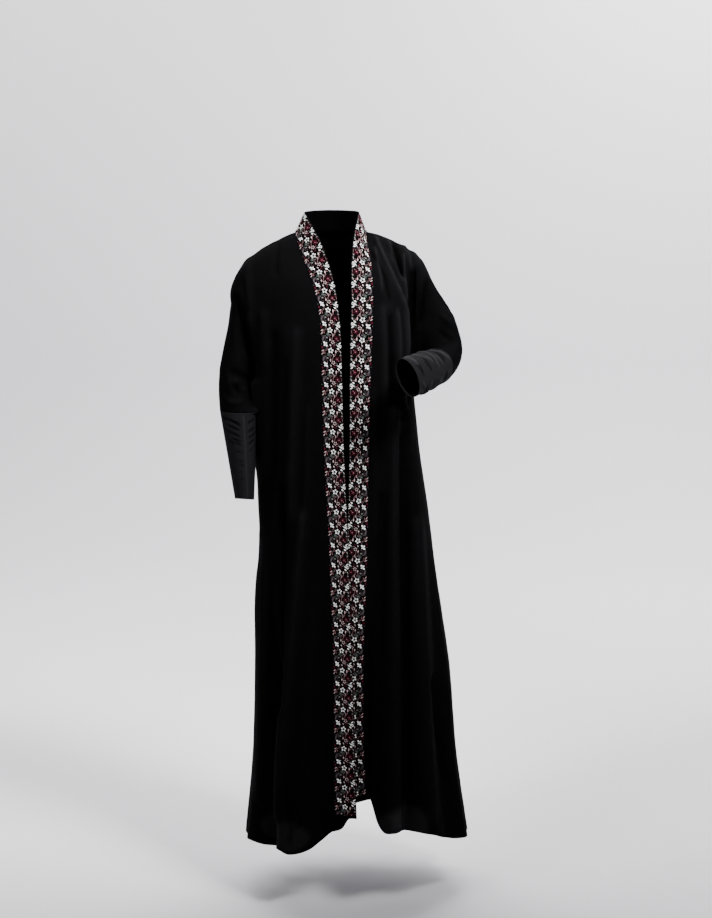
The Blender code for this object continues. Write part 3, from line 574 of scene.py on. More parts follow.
# Creases of the cloth as lines on the front and the back, in x and z: they are narrower than
# the main folds. The last two columns are how far they stand out and their half width.
FRONT_CREASES = table(
    FOLD_COLUMNS,
    (-0.220, -0.122, -0.187, -0.198, -0.168, -0.295, -0.0080, 0.0070),
    (-0.186, -0.158, -0.176, -0.223, -0.161, -0.318, 0.0055, 0.0070),
    (-0.205, -0.175, -0.196, -0.235, -0.190, -0.320, 0.0040, 0.0070),
    (-0.152, -0.150, -0.146, -0.260, -0.148, -0.560, 0.0060, 0.0110),
    (-0.128, -0.200, -0.127, -0.380, -0.132, -0.640, -0.0060, 0.0100),
    (-0.074, -0.190, -0.082, -0.390, -0.094, -0.640, 0.0070, 0.0110),
    (-0.100, -0.260, -0.106, -0.440, -0.116, -0.660, -0.0055, 0.0090),
    (-0.052, -0.365, -0.056, -0.520, -0.064, -0.690, 0.0040, 0.0080),
    (-0.064, -0.600, -0.103, -1.050, -0.130, -1.330, 0.0130, 0.0120),
    (-0.108, -0.540, -0.112, -0.800, -0.121, -1.080, -0.0110, 0.0090),
    (-0.146, -0.660, -0.154, -0.950, -0.168, -1.300, 0.0085, 0.0130),
    (-0.094, -1.270, -0.095, -1.320, -0.097, -1.380, -0.0080, 0.0060),
    (-0.036, -0.760, -0.052, -0.980, -0.066, -1.260, 0.0035, 0.0150),
    (-0.123, 0.003, -0.123, -0.040, -0.124, -0.090, -0.0035, 0.0070),
    (-0.162, -0.305, -0.170, -0.440, -0.194, -0.600, 0.0190, 0.0110),
    (-0.238, -0.294, -0.206, -0.305, -0.182, -0.318, -0.0060, 0.0055),
    (-0.246, -0.316, -0.222, -0.322, -0.200, -0.316, 0.0050, 0.0055),
    (-0.224, -0.322, -0.215, -0.337, -0.202, -0.352, -0.0075, 0.0050),
    (-0.204, -0.328, -0.199, -0.338, -0.193, -0.348, 0.0060, 0.0050),
    (-0.250, -0.338, -0.236, -0.346, -0.222, -0.352, -0.0040, 0.0050),
    (-0.246, -0.362, -0.220, -0.367, -0.194, -0.364, 0.0050, 0.0055),
    (-0.262, -0.300, -0.250, -0.322, -0.244, -0.345, -0.0035, 0.0060),
    (0.095, 0.006, 0.116, -0.046, 0.150, -0.128, 0.0100, 0.0052),
    (0.140, -0.106, 0.161, -0.160, 0.165, -0.345, 0.0115, 0.0052),
    (0.126, 0.000, 0.134, -0.050, 0.160, -0.108, 0.0080, 0.0045),
    (0.156, -0.011, 0.173, -0.043, 0.182, -0.085, 0.0070, 0.0048),
    (0.161, -0.030, 0.161, -0.085, 0.163, -0.150, 0.0080, 0.0042),
    (0.094, -0.016, 0.104, -0.069, 0.111, -0.130, 0.0070, 0.0045),
    (0.143, -0.150, 0.147, -0.213, 0.149, -0.330, 0.0075, 0.0045),
    (0.124, -0.012, 0.138, -0.062, 0.152, -0.096, -0.0055, 0.0040),
    (0.142, -0.006, 0.149, -0.050, 0.160, -0.100, -0.0100, 0.0062),
    (0.088, -0.030, 0.118, -0.090, 0.130, -0.150, -0.0050, 0.0045),
    (0.184, -0.060, 0.182, -0.170, 0.179, -0.390, -0.0085, 0.0085),
    (0.128, -0.160, 0.132, -0.250, 0.136, -0.370, -0.0050, 0.0060),
    (0.110, -0.140, 0.118, -0.240, 0.120, -0.370, 0.0050, 0.0080),
    (0.191, -0.039, 0.204, -0.065, 0.217, -0.100, 0.0040, 0.0080),
    (0.215, -0.089, 0.211, -0.140, 0.200, -0.200, -0.0050, 0.0065),
    (0.244, -0.135, 0.262, -0.160, 0.280, -0.178, -0.0040, 0.0060),
    (0.240, -0.165, 0.262, -0.188, 0.285, -0.205, 0.0045, 0.0060),
    (0.236, -0.200, 0.256, -0.222, 0.284, -0.236, -0.0040, 0.0060),
    (0.096, -0.330, 0.098, -0.500, 0.100, -0.680, 0.0040, 0.0100),
    (0.138, -0.365, 0.141, -0.850, 0.143, -1.340, 0.0125, 0.0110),
    (0.163, -0.420, 0.167, -0.900, 0.172, -1.300, -0.0120, 0.0110),
    (0.112, -0.560, 0.110, -0.900, 0.106, -1.290, -0.0060, 0.0100),
    (0.190, -0.620, 0.208, -0.950, 0.226, -1.330, 0.0100, 0.0160),
    (0.226, -0.980, 0.240, -1.120, 0.262, -1.260, -0.0070, 0.0080),
)
BACK_CREASES = table(
    FOLD_COLUMNS,
    (-0.215, -0.120, -0.190, -0.200, -0.172, -0.300, -0.0050, 0.0060),
    (-0.195, -0.100, -0.170, -0.180, -0.155, -0.300, 0.0035, 0.0070),
    (0.222, -0.120, 0.205, -0.200, 0.192, -0.300, -0.0050, 0.0060),
    (0.200, -0.090, 0.180, -0.180, 0.168, -0.300, 0.0035, 0.0070),
    (-0.035, -0.030, -0.045, -0.160, -0.048, -0.330, 0.0030, 0.0070),
    (0.030, -0.045, 0.042, -0.200, 0.046, -0.380, 0.0028, 0.0080),
    (-0.100, -0.060, -0.110, -0.190, -0.118, -0.360, -0.0028, 0.0070),
    (0.108, -0.050, 0.114, -0.180, 0.122, -0.340, -0.0030, 0.0070),
    (-0.150, -0.100, -0.148, -0.240, -0.150, -0.480, 0.0026, 0.0080),
    (0.155, -0.110, 0.160, -0.260, 0.172, -0.520, 0.0026, 0.0080),
    (-0.080, -0.380, -0.088, -0.620, -0.092, -0.860, 0.0024, 0.0080),
    (-0.022, -0.460, -0.020, -0.720, -0.018, -0.980, -0.0024, 0.0080),
    (0.060, -0.420, 0.066, -0.700, 0.072, -1.010, 0.0026, 0.0080),
    (0.118, -0.520, 0.128, -0.780, 0.140, -1.060, -0.0025, 0.0090),
    (-0.130, -0.600, -0.138, -0.840, -0.150, -1.100, 0.0026, 0.0080),
    (0.178, -0.640, 0.196, -0.880, 0.214, -1.160, 0.0026, 0.0090),
    (-0.060, -0.900, -0.064, -1.080, -0.070, -1.260, 0.0022, 0.0080),
    (0.020, -0.880, 0.024, -1.060, 0.030, -1.280, 0.0022, 0.0090),
    (-0.222, -0.330, -0.238, -0.345, -0.252, -0.350, -0.0026, 0.0060),
    (0.232, -0.215, 0.252, -0.240, 0.276, -0.262, -0.0026, 0.0060),
    (0.222, -0.250, 0.244, -0.272, 0.266, -0.288, 0.0026, 0.0060),
)

# The back's creases are charted fine and then strengthened, most of all on the skirt
SKIRT_TOP = -0.35       # height below which a crease starts on the skirt
BACK_STRENGTH = {       # how many times a charted crease stands out and is wide: above, skirt
    "lift": (1.30, 2.55),
    "width": (1.15, 1.35),
}
for measure, (above, on_skirt) in BACK_STRENGTH.items():
    BACK_CREASES[measure] = BACK_CREASES[measure] * np.where(
        BACK_CREASES["z1"] < SKIRT_TOP, on_skirt, above)
CREASES = {"front": FRONT_CREASES, "back": BACK_CREASES}

# Wrinkles of the cuffs as lines on the unrolled cuff: degrees round it from its outer side
# by way of its front, and shares of its length from the sleeve
WRINKLE_COLUMNS = "turn1 down1 turn2 down2 turn3 down3 lift width"
CUFF_WRINKLES = {
    "right": table(
        WRINKLE_COLUMNS,
        (108, 0.00, 108, 0.50, 108, 1.00, 0.0009, 0.0026),
        (16, 0.05, 58, 0.09, 100, 0.14, -0.0024, 0.0022),
        (54, 0.08, 78, 0.12, 103, 0.17, -0.0022, 0.0022),
        (42, 0.14, 72, 0.18, 100, 0.22, -0.0024, 0.0023),
        (12, 0.16, 40, 0.21, 66, 0.26, -0.0015, 0.0024),
        (50, 0.22, 76, 0.26, 102, 0.29, -0.0023, 0.0022),
        (54, 0.29, 78, 0.32, 101, 0.34, -0.0021, 0.0022),
        (60, 0.33, 80, 0.36, 100, 0.39, -0.0020, 0.0022),
        (30, 0.30, 52, 0.34, 74, 0.39, -0.0012, 0.0024),
        (62, 0.43, 82, 0.46, 102, 0.48, -0.0014, 0.0022),
        (70, 0.55, 85, 0.57, 98, 0.58, -0.0018, 0.0022),
        (72, 0.60, 88, 0.61, 104, 0.63, -0.0018, 0.0022),
        (70, 0.69, 84, 0.68, 98, 0.67, -0.0015, 0.0022),
        (62, 0.79, 80, 0.77, 98, 0.75, -0.0011, 0.0022),
        (154, 0.07, 133, 0.10, 114, 0.14, -0.0024, 0.0022),
        (158, 0.16, 136, 0.20, 114, 0.24, -0.0024, 0.0023),
        (164, 0.22, 139, 0.27, 114, 0.30, -0.0023, 0.0022),
        (158, 0.29, 135, 0.34, 114, 0.38, -0.0022, 0.0023),
        (150, 0.41, 132, 0.43, 116, 0.46, -0.0013, 0.0022),
        (176, 0.34, 160, 0.38, 146, 0.42, -0.0014, 0.0024),
        (148, 0.66, 132, 0.68, 116, 0.69, -0.0012, 0.0022),
        (300, 0.08, 258, 0.18, 215, 0.30, -0.0020, 0.0030),
        (335, 0.22, 290, 0.33, 250, 0.42, 0.0022, 0.0032),
        (305, 0.38, 262, 0.46, 222, 0.55, -0.0019, 0.0028),
        (338, 0.50, 295, 0.60, 250, 0.68, 0.0020, 0.0030),
        (318, 0.72, 272, 0.79, 228, 0.88, -0.0016, 0.0028),
    ),
    "left": table(
        WRINKLE_COLUMNS,
        (102, 0.24, 60, 0.14, 16, 0.05, 0.0042, 0.0034),
        (56, 0.27, 28, 0.21, 358, 0.16, -0.0016, 0.0058),
        (62, 0.32, 36, 0.30, 10, 0.27, 0.0032, 0.0028),
        (98, 0.76, 64, 0.62, 30, 0.46, 0.0042, 0.0034),
        (50, 0.68, 18, 0.62, 346, 0.52, -0.0017, 0.0060),
        (90, 0.62, 74, 0.54, 58, 0.47, 0.0026, 0.0024),
        (102, 0.97, 40, 0.87, 344, 0.62, 0.0042, 0.0034),
        (44, 0.90, 12, 0.85, 340, 0.74, -0.0017, 0.0055),
        (350, 0.93, 332, 0.86, 312, 0.79, 0.0034, 0.0030),
        (48, 0.42, 18, 0.40, 348, 0.36, 0.0032, 0.0028),
        (58, 0.46, 36, 0.42, 14, 0.38, -0.0014, 0.0040),
        (350, 0.30, 326, 0.36, 300, 0.44, 0.0026, 0.0028),
        (20, 0.16, 350, 0.18, 322, 0.24, -0.0022, 0.0030),
        (96, 0.06, 66, 0.05, 36, 0.03, -0.0018, 0.0042),
        (112, 0.08, 150, 0.17, 190, 0.24, 0.0028, 0.0032),
        (118, 0.32, 158, 0.42, 196, 0.50, -0.0026, 0.0032),
        (108, 0.60, 142, 0.70, 182, 0.78, 0.0024, 0.0030),
        (212, 0.10, 234, 0.24, 256, 0.36, -0.0026, 0.0032),
        (214, 0.48, 238, 0.60, 262, 0.70, 0.0024, 0.0032),
    ),
}
CUFF_SEAM = {"right": 113, "left": 200}     # degrees round the cuff at which its own seam lies
CUFF_RADIUS = 0.036     # mean radius of a cuff, to measure round it

RIPPLES = (             # height, scale in x, y and z, and start of the cloth's soft unevenness
    (0.0008, (34.0, 34.0, 7.0), (0.0, 0.0, 0.0)),
    (0.0004, (80.0, 80.0, 22.0), (0.0, 0.0, 5.0)),
)
CREASE_FADE = 0.020     # length over which a crease dies away at each end
WRINKLE_FADE = 0.015    # the same for a wrinkle of a cuff
CUFF_END_FADE = 0.012   # distance from a cuff's ends over which its wrinkles rise

# Painted shade and highlight: the cloth's colour is made darker in a trough and lighter on a ridge,
# most of all where the light on the folds is strongest
FOLD_REST = 0.0048      # lift at which the cloth has its middle tone
FOLD_TONE = 0.007       # lift above it at which a ridge has nearly its lightest tone
WRINKLE_REST = 0.0006   # the same two for the wrinkles of the cuffs
WRINKLE_TONE = 0.0018
MAIN_TONE = 0.35        # how much the main folds share in the tone
PAINTED_TONE_ELSEWHERE = 0.3        # how much of the painted shade and highlight shows outside those places

# Rounded places of the front, seen from there: where the painted shade and highlight of the folds
# is strongest, and where painted light near the hem stands for light coming through the cloth
PLACE_COLUMNS = "x z half_width half_height share"
PLACE_EDGE = 3.0        # how sharply such a place ends
PAINTED_LIGHT_PLACES = table(
    PLACE_COLUMNS,
    (0.148, -0.150, 0.070, 0.270, 1.0),
    (-0.222, -0.335, 0.060, 0.060, 0.6),
)
# painted light near the hem, where light would come through the crepe
PAINTED_BACKLIGHT_PLACES = table(
    PLACE_COLUMNS,
    (-0.108, -1.352, 0.064, 0.036, 0.8),
    (0.162, -1.330, 0.064, 0.056, 0.85),
)


def grid_of(points):
    """Return a sheet's points as an array of rows and columns, empty where it has no cloth."""
    keys = np.array(list(points))
    first = keys.min(axis=0)
    grid = np.full((*(keys.max(axis=0) - first + 1), 3), np.nan)
    for key, point in points.items():
        grid[tuple(np.array(key) - first)] = point
    return grid


def refined(grid, steps):
    """Return the grid with more rows, on a smooth curve down each of its columns."""
    fine = np.full(((len(grid) - 1) * steps + 1, *grid.shape[1:]), np.nan)
    filled = ~np.isnan(grid[..., 0])
    firsts = filled.argmax(axis=0)
    lasts = len(grid) - 1 - filled[::-1].argmax(axis=0)
    for first, last in sorted(set(zip(firsts.tolist(), lasts.tolist()))):
        columns = (firsts == first) & (lasts == last)
        run = grid[first:last + 1, columns]
        slopes = np.gradient(run, axis=0)
        at = np.arange((last - first) * steps + 1) / steps
        low = np.minimum(at.astype(int), last - first - 1)
        share = (at - low)[:, None, None]
        smooth = share * share * (3.0 - 2.0 * share)
        fine[first * steps:last * steps + 1, columns] = (
            mix(run[low], run[low + 1], smooth)
            + slopes[low] * share * (1.0 - share) ** 2
            - slopes[low + 1] * share ** 2 * (1.0 - share))
    return fine


def fine_grid(points, row_steps=STEPS, column_steps=STEPS):
    """Return a sheet's points on a fine grid."""
    rows = refined(grid_of(points), row_steps)
    return refined(rows.transpose(1, 0, 2), column_steps).transpose(1, 0, 2)


def join_seams(side, front, back):
    """Give the front's seams the very points of the back's."""
    first_row = TRIM_CELLS * STEPS
    under = UPPER_ROWS * STEPS
    columns = np.arange(TRIM_CELLS * STEPS, front.shape[1])
    places = (CUFF + NECK_CELLS) * STEPS + side.sign * (columns + (NECK_CELLS - TRIM_CELLS) * STEPS)
    front[0, columns] = back[first_row, places]
    front[0, :first_row] = back[:first_row, places[0]]
    side_column = (TRIM_CELLS + SIDE) * STEPS
    side_place = places[columns == side_column][0]
    front[under:, side_column] = back[first_row + under:, side_place]
    sleeve = columns >= side_column
    front[under, columns[sleeve]] = back[first_row + under, places[sleeve]]


def fine_cuff(side, front, back):
    """Return a cuff's points, from the sleeve's own edge to the wrist."""
    under = UPPER_ROWS * STEPS
    place = (back.shape[1] - 1) * (side is LEFT)
    ahead = front[:under, -1]
    behind = back[TRIM_CELLS * STEPS:TRIM_CELLS * STEPS + under + 1, place][::-1]
    ring = np.concatenate([ahead, behind])
    turn = 2.0 * math.pi * np.arange(len(ring)) / (len(ring) - 1)
    centre, across, forward = (np.array(side.wrist[key]) for key in ("centre", "side", "front"))
    end = centre + np.cos(turn)[:, None] * across + np.sin(turn)[:, None] * forward
    down = np.linspace(0.0, 1.0, CUFF_ROWS * CUFF_STEPS + 1)[:, None, None]
    grid = mix(ring[None], end[None], down)
    shift = int(round(CUFF_SEAM[side.name] / 360.0 * (len(ring) - 1)))
    return np.concatenate([grid[:, shift:-1], grid[:, :shift + 1]], axis=1)


class Cloth:
    """A piece of cloth: its points and cells, and where each point lies in the flat cut."""

    def __init__(self, grid, flip=False):
        filled = ~np.isnan(grid[..., 0])
        number = np.full(filled.shape, -1)
        number[filled] = np.arange(filled.sum())
        self.points = grid[filled]
        corners = [number[:-1, :-1], number[:-1, 1:], number[1:, 1:], number[1:, :-1]]
        cells = np.stack(corners[::-1] if flip else corners, axis=-1)
        self.cells = cells[(cells >= 0).all(axis=-1)]
        across = np.linalg.norm(np.diff(grid, axis=1, prepend=grid[:, :1]), axis=-1)
        down = np.linalg.norm(np.diff(grid, axis=0, prepend=grid[:1]), axis=-1)
        self.across = np.nancumsum(across, axis=1)[filled]
        self.down = np.nancumsum(down, axis=0)[filled]
        # painted shade and highlight of the folds, at the middle tone until the cloth is creased
        self.tone = np.full(len(self.points), 0.5)
        self.filled = filled

    def border(self):
        """Return the edges that bound the cloth, as two arrays of their ends."""
        starts = self.cells.ravel()
        ends = np.roll(self.cells, -1, axis=1).ravel()
        count = len(self.points)
        forward, backward = starts * count + ends, ends * count + starts
        open_edges = ~np.isin(forward, backward)
        return starts[open_edges], ends[open_edges]


def welds(cloths):
    """Return for each cloth the numbers of its points, equal where two cloths meet, and their count."""
    every = np.concatenate([cloth.points for cloth in cloths.values()])
    _, numbers = np.unique(np.round(every, 6) + 0.0, axis=0, return_inverse=True)
    numbers = numbers.reshape(-1)
    found, start = {}, 0
    for name, cloth in cloths.items():
        found[name] = numbers[start:start + len(cloth.points)]
        start += len(cloth.points)
    return found, numbers.max() + 1


def cell_normals(cloth):
    """Return the outward direction of each cell, as long as its area."""
    a, b, c, d = (cloth.points[cloth.cells[:, corner]] for corner in range(4))
    return np.cross(c - a, d - b) / 2.0


def normals_of(cloths):
    """Return the outward directions of each cloth's points, shared where cloths meet."""
    numbers, count = welds(cloths)
    total = np.zeros((count, 3))
    for name, cloth in cloths.items():
        normals = cell_normals(cloth)
        for corner in range(4):
            np.add.at(total, numbers[name][cloth.cells[:, corner]], normals)
    total /= np.maximum(np.linalg.norm(total, axis=1, keepdims=True), 1e-12)
    return {name: total[numbers[name]] for name in cloths}


def line_lift(folds, x, z, names=("x", "z"), fade=FOLD_FADE):
    """Return how far a table's folds move points out: each is a line of three points."""
    total = np.zeros(len(x))
    for number in range(len(folds["lift"])):
        line = [[folds[name + k][number] for name in names] for k in "123"]
        lengths = [math.dist(line[0], line[1]), math.dist(line[1], line[2])]
        nearest, along = np.full(len(x), 1e9), np.zeros(len(x))
        for part in (0, 1):
            (x0, z0), (x1, z1) = line[part], line[part + 1]
            share = ((x - x0) * (x1 - x0) + (z - z0) * (z1 - z0)) / lengths[part] ** 2
            share = np.clip(share, 0.0, 1.0)
            away = np.hypot(x - mix(x0, x1, share), z - mix(z0, z1, share))
            here = share * lengths[part] + (lengths[0] if part else 0.0)
            along = np.where(away < nearest, here, along)
            nearest = np.minimum(away, nearest)
        ends = np.clip(np.minimum(along, sum(lengths) - along) / fade, 0.0, 1.0)
        soft = ends * ends * (3.0 - 2.0 * ends)
        total += folds["lift"][number] * soft * np.exp(-(nearest / folds["width"][number]) ** 2)
    return total


def place_share(places, x, z):
    """Return how far each point is inside a table's rounded places, up to their share."""
    total = np.zeros(len(x))
    for middle_x, middle_z, half_width, half_height, share in rows_of(places):
        away = ((x - middle_x) / half_width) ** 2 + ((z - middle_z) / half_height) ** 2
        total += share * np.clip(PLACE_EDGE * (1.0 - away), 0.0, 1.0)
    return np.clip(total, 0.0, 1.0)


def painted_fold_tone(lift, rest, full):
    """Return a painted tone from 0, painted shade in deep folds, to 1, painted highlight on high
    ridges.
    """
    return 0.5 + 0.5 * np.tanh((lift - rest) / full)


def ripple(points):
    """Return a soft, mostly upright unevenness at the points."""
    total = np.zeros(len(points))
    for height, scale, start in RIPPLES:
        places = points * scale + start
        total += height * np.array([noise.noise(Vector(place)) for place in places.tolist()])
    return total


def crease_cloth(cloths):
    """Move the cloth's points out by its main folds, its creases and its unevenness; give them painted
    shade and highlight.
    """
    normals = normals_of(cloths)
    numbers, count = welds(cloths)
    total, tones, times = np.zeros(count), np.zeros(count), np.zeros(count)
    for name, cloth in cloths.items():
        face = name.split("_")[0]
        if face in FOLDS:
            x, z = cloth.points[:, 0], cloth.points[:, 2]
            main = line_lift(FOLDS[face], x, z)
            small = line_lift(CREASES[face], x, z, fade=CREASE_FADE)
            np.add.at(total, numbers[name], main + small + ripple(cloth.points))
            # the painted shade and highlight of the folds is strongest where the light on them is
            # strongest
            drawn = place_share(PAINTED_LIGHT_PLACES, x, z) if face == "front" else 0.0
            shown = PAINTED_TONE_ELSEWHERE + (1.0 - PAINTED_TONE_ELSEWHERE) * drawn
            np.add.at(tones, numbers[name], (small + MAIN_TONE * main) * shown)
            np.add.at(times, numbers[name], 1.0)
    mean, tones = total / np.maximum(times, 1.0), tones / np.maximum(times, 1.0)
    for name, cloth in cloths.items():
        cloth.points = cloth.points + normals[name] * mean[numbers[name]][:, None]
        cloth.tone = painted_fold_tone(tones[numbers[name]], FOLD_REST, FOLD_TONE)


def wrinkle_cuff(side, cloth, normals):
    """Move the cuff's points out by its wrinkles, with painted shade in their troughs and highlight on
    their ridges.
    """
    rows, columns = cloth.filled.shape
    turn = (np.arange(columns) / (columns - 1) * 360.0 + CUFF_SEAM[side.name]) % 360.0
    down = np.linspace(0.0, 1.0, rows)
    length = np.linalg.norm(cloth.points[-1] - cloth.points[0])
    around = np.broadcast_to(np.radians(turn) * CUFF_RADIUS, (rows, columns)).ravel()
    along = np.broadcast_to(down[:, None] * length, (rows, columns)).ravel()
    wrinkles = dict(CUFF_WRINKLES[side.name])
    for k in "123":
        wrinkles["turn" + k] = np.radians(wrinkles["turn" + k]) * CUFF_RADIUS
        wrinkles["down" + k] = wrinkles["down" + k] * length
    lift = line_lift(wrinkles, around, along, ("turn", "down"), WRINKLE_FADE)
    ends = np.clip(np.minimum(along, length - along) / CUFF_END_FADE, 0.0, 1.0)
    cloth.points = cloth.points + normals * (lift * ends)[:, None]
    # painted shade in the wrinkles' troughs and painted highlight on their ridges
    cloth.tone = painted_fold_tone(lift, WRINKLE_REST, WRINKLE_TONE)


def drawn_in(cloth, normals, distance):
    """Return the cloth's points with its border drawn in by a distance."""
    starts, ends = cloth.border()
    along = cloth.points[ends] - cloth.points[starts]
    total = np.zeros_like(cloth.points)
    for keys in (starts, ends):
        inward = np.cross(normals[keys], along)
        np.add.at(total, keys, inward / np.linalg.norm(inward, axis=1, keepdims=True))
    length = np.linalg.norm(total, axis=1, keepdims=True)
    return cloth.points + total / np.maximum(length, 1.0) * distance


def shell(name, cloth, normals, low, high, material):
    """Make the closed shell of a cloth between two distances along its outward directions."""
    points = drawn_in(cloth, normals, SEAM_PULL)
    low = np.broadcast_to(low, len(points))[:, None]
    high = np.broadcast_to(high, len(points))[:, None]
    count = len(points)
    starts, ends = cloth.border()
    walls = np.stack([ends, starts, starts + count, ends + count], axis=-1)
    faces = np.concatenate([cloth.cells, cloth.cells[:, ::-1] + count, walls])
    places = np.concatenate([points + normals * high, points + normals * low])
    piece = add_mesh(name, places, faces.tolist(), [material])
    flat = np.tile(np.stack([cloth.across, cloth.down], axis=-1), (2, 1))
    add_flat_map(piece.data, flat)
    # painted shade and highlight of the folds, read by the material
    add_value(piece.data, "tone", np.tile(cloth.tone, 2))
    return piece


def add_object(name, data):
    """Add an object to the scene."""
    made = bpy.data.objects.new(name, data)
    bpy.context.scene.collection.objects.link(made)
    return made


def add_mesh(name, places, faces, materials):
    """Add a smooth mesh that moves with the part's body."""
    mesh = bpy.data.meshes.new(name)
    mesh.from_pydata(places.tolist(), [], faces)
    mesh.shade_smooth()
    for material in materials:
        mesh.materials.append(material)
    piece = add_object(name, mesh)
    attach(piece, "root")
    return piece


def add_flat_map(mesh, flat):
    """Store where each corner lies in the flat cut, in metres."""
    corner_points = np.empty(len(mesh.loops), dtype=int)
    mesh.loops.foreach_get("vertex_index", corner_points)
    layer = mesh.uv_layers.new(name="flat_cut")
    layer.data.foreach_set("uv", flat[corner_points].astype(np.float32).ravel())


def add_value(mesh, name, values):
    """Store a value at each point of a mesh, for its material."""
    attribute = mesh.attributes.new(name, "FLOAT", "POINT")
    attribute.data.foreach_set("value", values.astype(np.float32))


# ---------------------------------------------------------------------------------------
# Embroidery and stitches

REPEAT = 0.045          # length of one repeat of the embroidery
BAND_WIDTH = 0.050      # width of the bands
MOTIF_CENTRE = 0.0263   # distance of the white flowers from the band's free edge
MOTIF_START = {"right": 0.042, "left": 0.006}   # first white flower's distance from the nape
THREADS = ("white", "blush", "rose", "maroon", "mauve", "green", "grey", "dark")
THREAD_COLOURS = {
    "white": (0.84, 0.86, 0.84),
    "blush": (0.44, 0.33, 0.33),
    "rose": (0.16, 0.075, 0.080),
    "maroon": (0.055, 0.003, 0.011),
    "mauve": (0.048, 0.040, 0.046),
    "green": (0.045, 0.058, 0.052),
    "grey": (0.17, 0.17, 0.165),
    "dark": (0.003, 0.003, 0.003),
}

# The chart of one repeat, in millimetres from its white flower, outwards and down. Turns are
# in degrees from outwards to downwards, and threads are numbered in the order above.
FLOWERS = table(
    "thread x    y     inner outer petals turn width",
    (0, 0.0, 0.0, 2.1, 6.2, 5, -116, 4.3),
    (1, -5.4, 18.5, 1.7, 4.4, 5, -90, 2.6),
    (3, -14.3, 26.0, 0.8, 5.2, 5, -70, 3.4),
    (5, 5.4, 36.4, 0.8, 4.4, 5, -20, 3.0),
)
PETALS = table(
    "thread x    y     length width turn",
    (0, -19.8, 1.6, 6.4, 3.6, 40),
    (0, -22.5, 6.0, 12.2, 2.5, 38),
    (0, -25.2, 9.2, 5.4, 2.3, -48),
    (0, -25.6, 11.2, 7.8, 2.1, -5),
    (0, -24.8, 17.8, 7.8, 2.9, -35),
    (6, -17.5, 9.8, 5.8, 3.2, 35),
    (0, 11.6, 13.8, 5.8, 4.6, -128),
    (0, 12.4, 15.0, 6.6, 4.8, 48),
    (0, 12.5, 14.0, 4.8, 3.8, -42),
    (0, 11.8, 15.0, 4.2, 3.4, 140),
    (1, 22.8, -9.0, 6.6, 2.1, 140),
    (1, 22.4, -1.6, 7.2, 2.3, 152),
    (2, 14.3, -7.8, 5.4, 2.3, 85),
    (2, 19.0, -5.4, 4.8, 1.9, 100),
    (3, 17.2, 7.6, 6.0, 3.7, 8),
    (3, 19.5, 3.6, 4.4, 2.3, 60),
    (1, 1.3, 20.8, 5.6, 3.4, 92),
    (1, -0.8, 9.4, 5.2, 3.0, 62),
    (4, 18.6, 19.6, 11.6, 4.8, 96),
    (4, 14.0, 26.6, 6.0, 3.0, 62),
    (4, 6.5, 26.5, 5.4, 2.8, 30),
    (5, 10.0, 33.0, 5.4, 2.8, -10),
    (5, 1.4, 39.2, 5.0, 2.6, 150),
    (6, -24.6, -11.6, 4.4, 3.4, 30),
    (6, -23.2, -6.2, 4.4, 2.8, 82),
    (3, -9.2, 7.0, 4.6, 3.0, 30),
    (1, -11.6, -6.6, 7.6, 3.3, 92),
    (5, 9.4, 1.6, 4.4, 2.1, 55),
    (2, -18.4, -2.4, 4.8, 2.3, 20),
    (4, -9.8, -12.8, 5.6, 4.4, 60),
    (4, -2.6, -12.0, 5.8, 4.6, 18),
    (6, 6.0, -16.8, 4.2, 3.2, 22),
    (3, -10.5, 31.4, 5.4, 3.2, 60),
    (3, -20.0, 30.6, 5.0, 2.8, 120),
    (2, -19.6, 20.6, 4.6, 2.2, 40),
    (3, 12.4, -12.6, 4.6, 2.6, -30),
)
STEMS = table(
    "thread x1   y1    x2    y2    x3    y3   width",
    (2, -4.6, 21.5, -4.0, 27.0, -6.4, 31.0, 1.5),
    (2, -6.4, 31.0, -10.6, 35.0, -11.6, 39.0, 1.6),
    (2, 6.4, 3.0, 9.0, 6.6, 9.4, 10.0, 1.1),
    (2, 17.9, -3.8, 13.0, 0.4, 7.2, 1.2, 1.1),
    (3, -13.5, 20.5, -9.5, 14.5, -7.2, 10.5, 1.3),
    (5, -17.0, 13.6, -13.0, 17.2, -9.6, 17.6, 1.1),
    (4, 13.5, 20.8, 11.0, 27.6, 12.6, 33.0, 1.1),
    (2, 0.6, 26.6, 2.0, 30.2, 4.2, 32.6, 1.1),
    (1, -2.8, -6.2, -6.5, -10.2, -5.2, -14.2, 1.3),
    (2, -22.6, 22.0, -23.8, 26.0, -22.0, 30.0, 1.2),
    (4, 20.8, -13.4, 17.0, -11.8, 16.2, -16.0, 1.1),
)
KNOTS = table(
    "thread x    y    radius",
    (7, 0.0, 0.0, 2.0),
    (7, -5.4, 18.5, 1.5),
    (6, 12.0, 14.4, 1.1),
    (1, -14.3, 26.0, 0.9),
    (6, 5.4, 36.4, 0.9),
    (1, -9.0, 12.4, 0.8),
    (0, -21.6, -1.4, 0.8),
    (2, 8.2, 21.6, 0.9),
    (6, 22.0, 14.6, 0.8),
    (2, -1.6, 34.6, 0.8),
)
PETAL_ROWS, PETAL_COLUMNS = 5, 4        # cells along and across a petal
STEM_CELLS = 8                          # cells along a stem
THREAD_HEIGHT = 0.0007                  # how far satin stitches stand above the ground
PETAL_ENDS = (0.03, 0.985)              # shares of its length where a petal's outline is cut off
PETAL_LEAN = 1.25                       # above 1, a petal is widest beyond its middle
PETAL_FULLNESS = 0.7                    # below 1, a petal is fuller than a leaf
PETAL_END_DOME = 0.45                   # height of the stitches at a petal's ends
STEM_TOP = 0.7                          # height of a stem's stitches
STEM_END_WIDTH = 0.4                    # width of a stem's ends
SUNK = 0.2                              # depth to which the edges are drawn into the ground
MILLIMETRE = 0.001
BAND_MARGIN = 0.3       # fine columns left bare along a band's edges
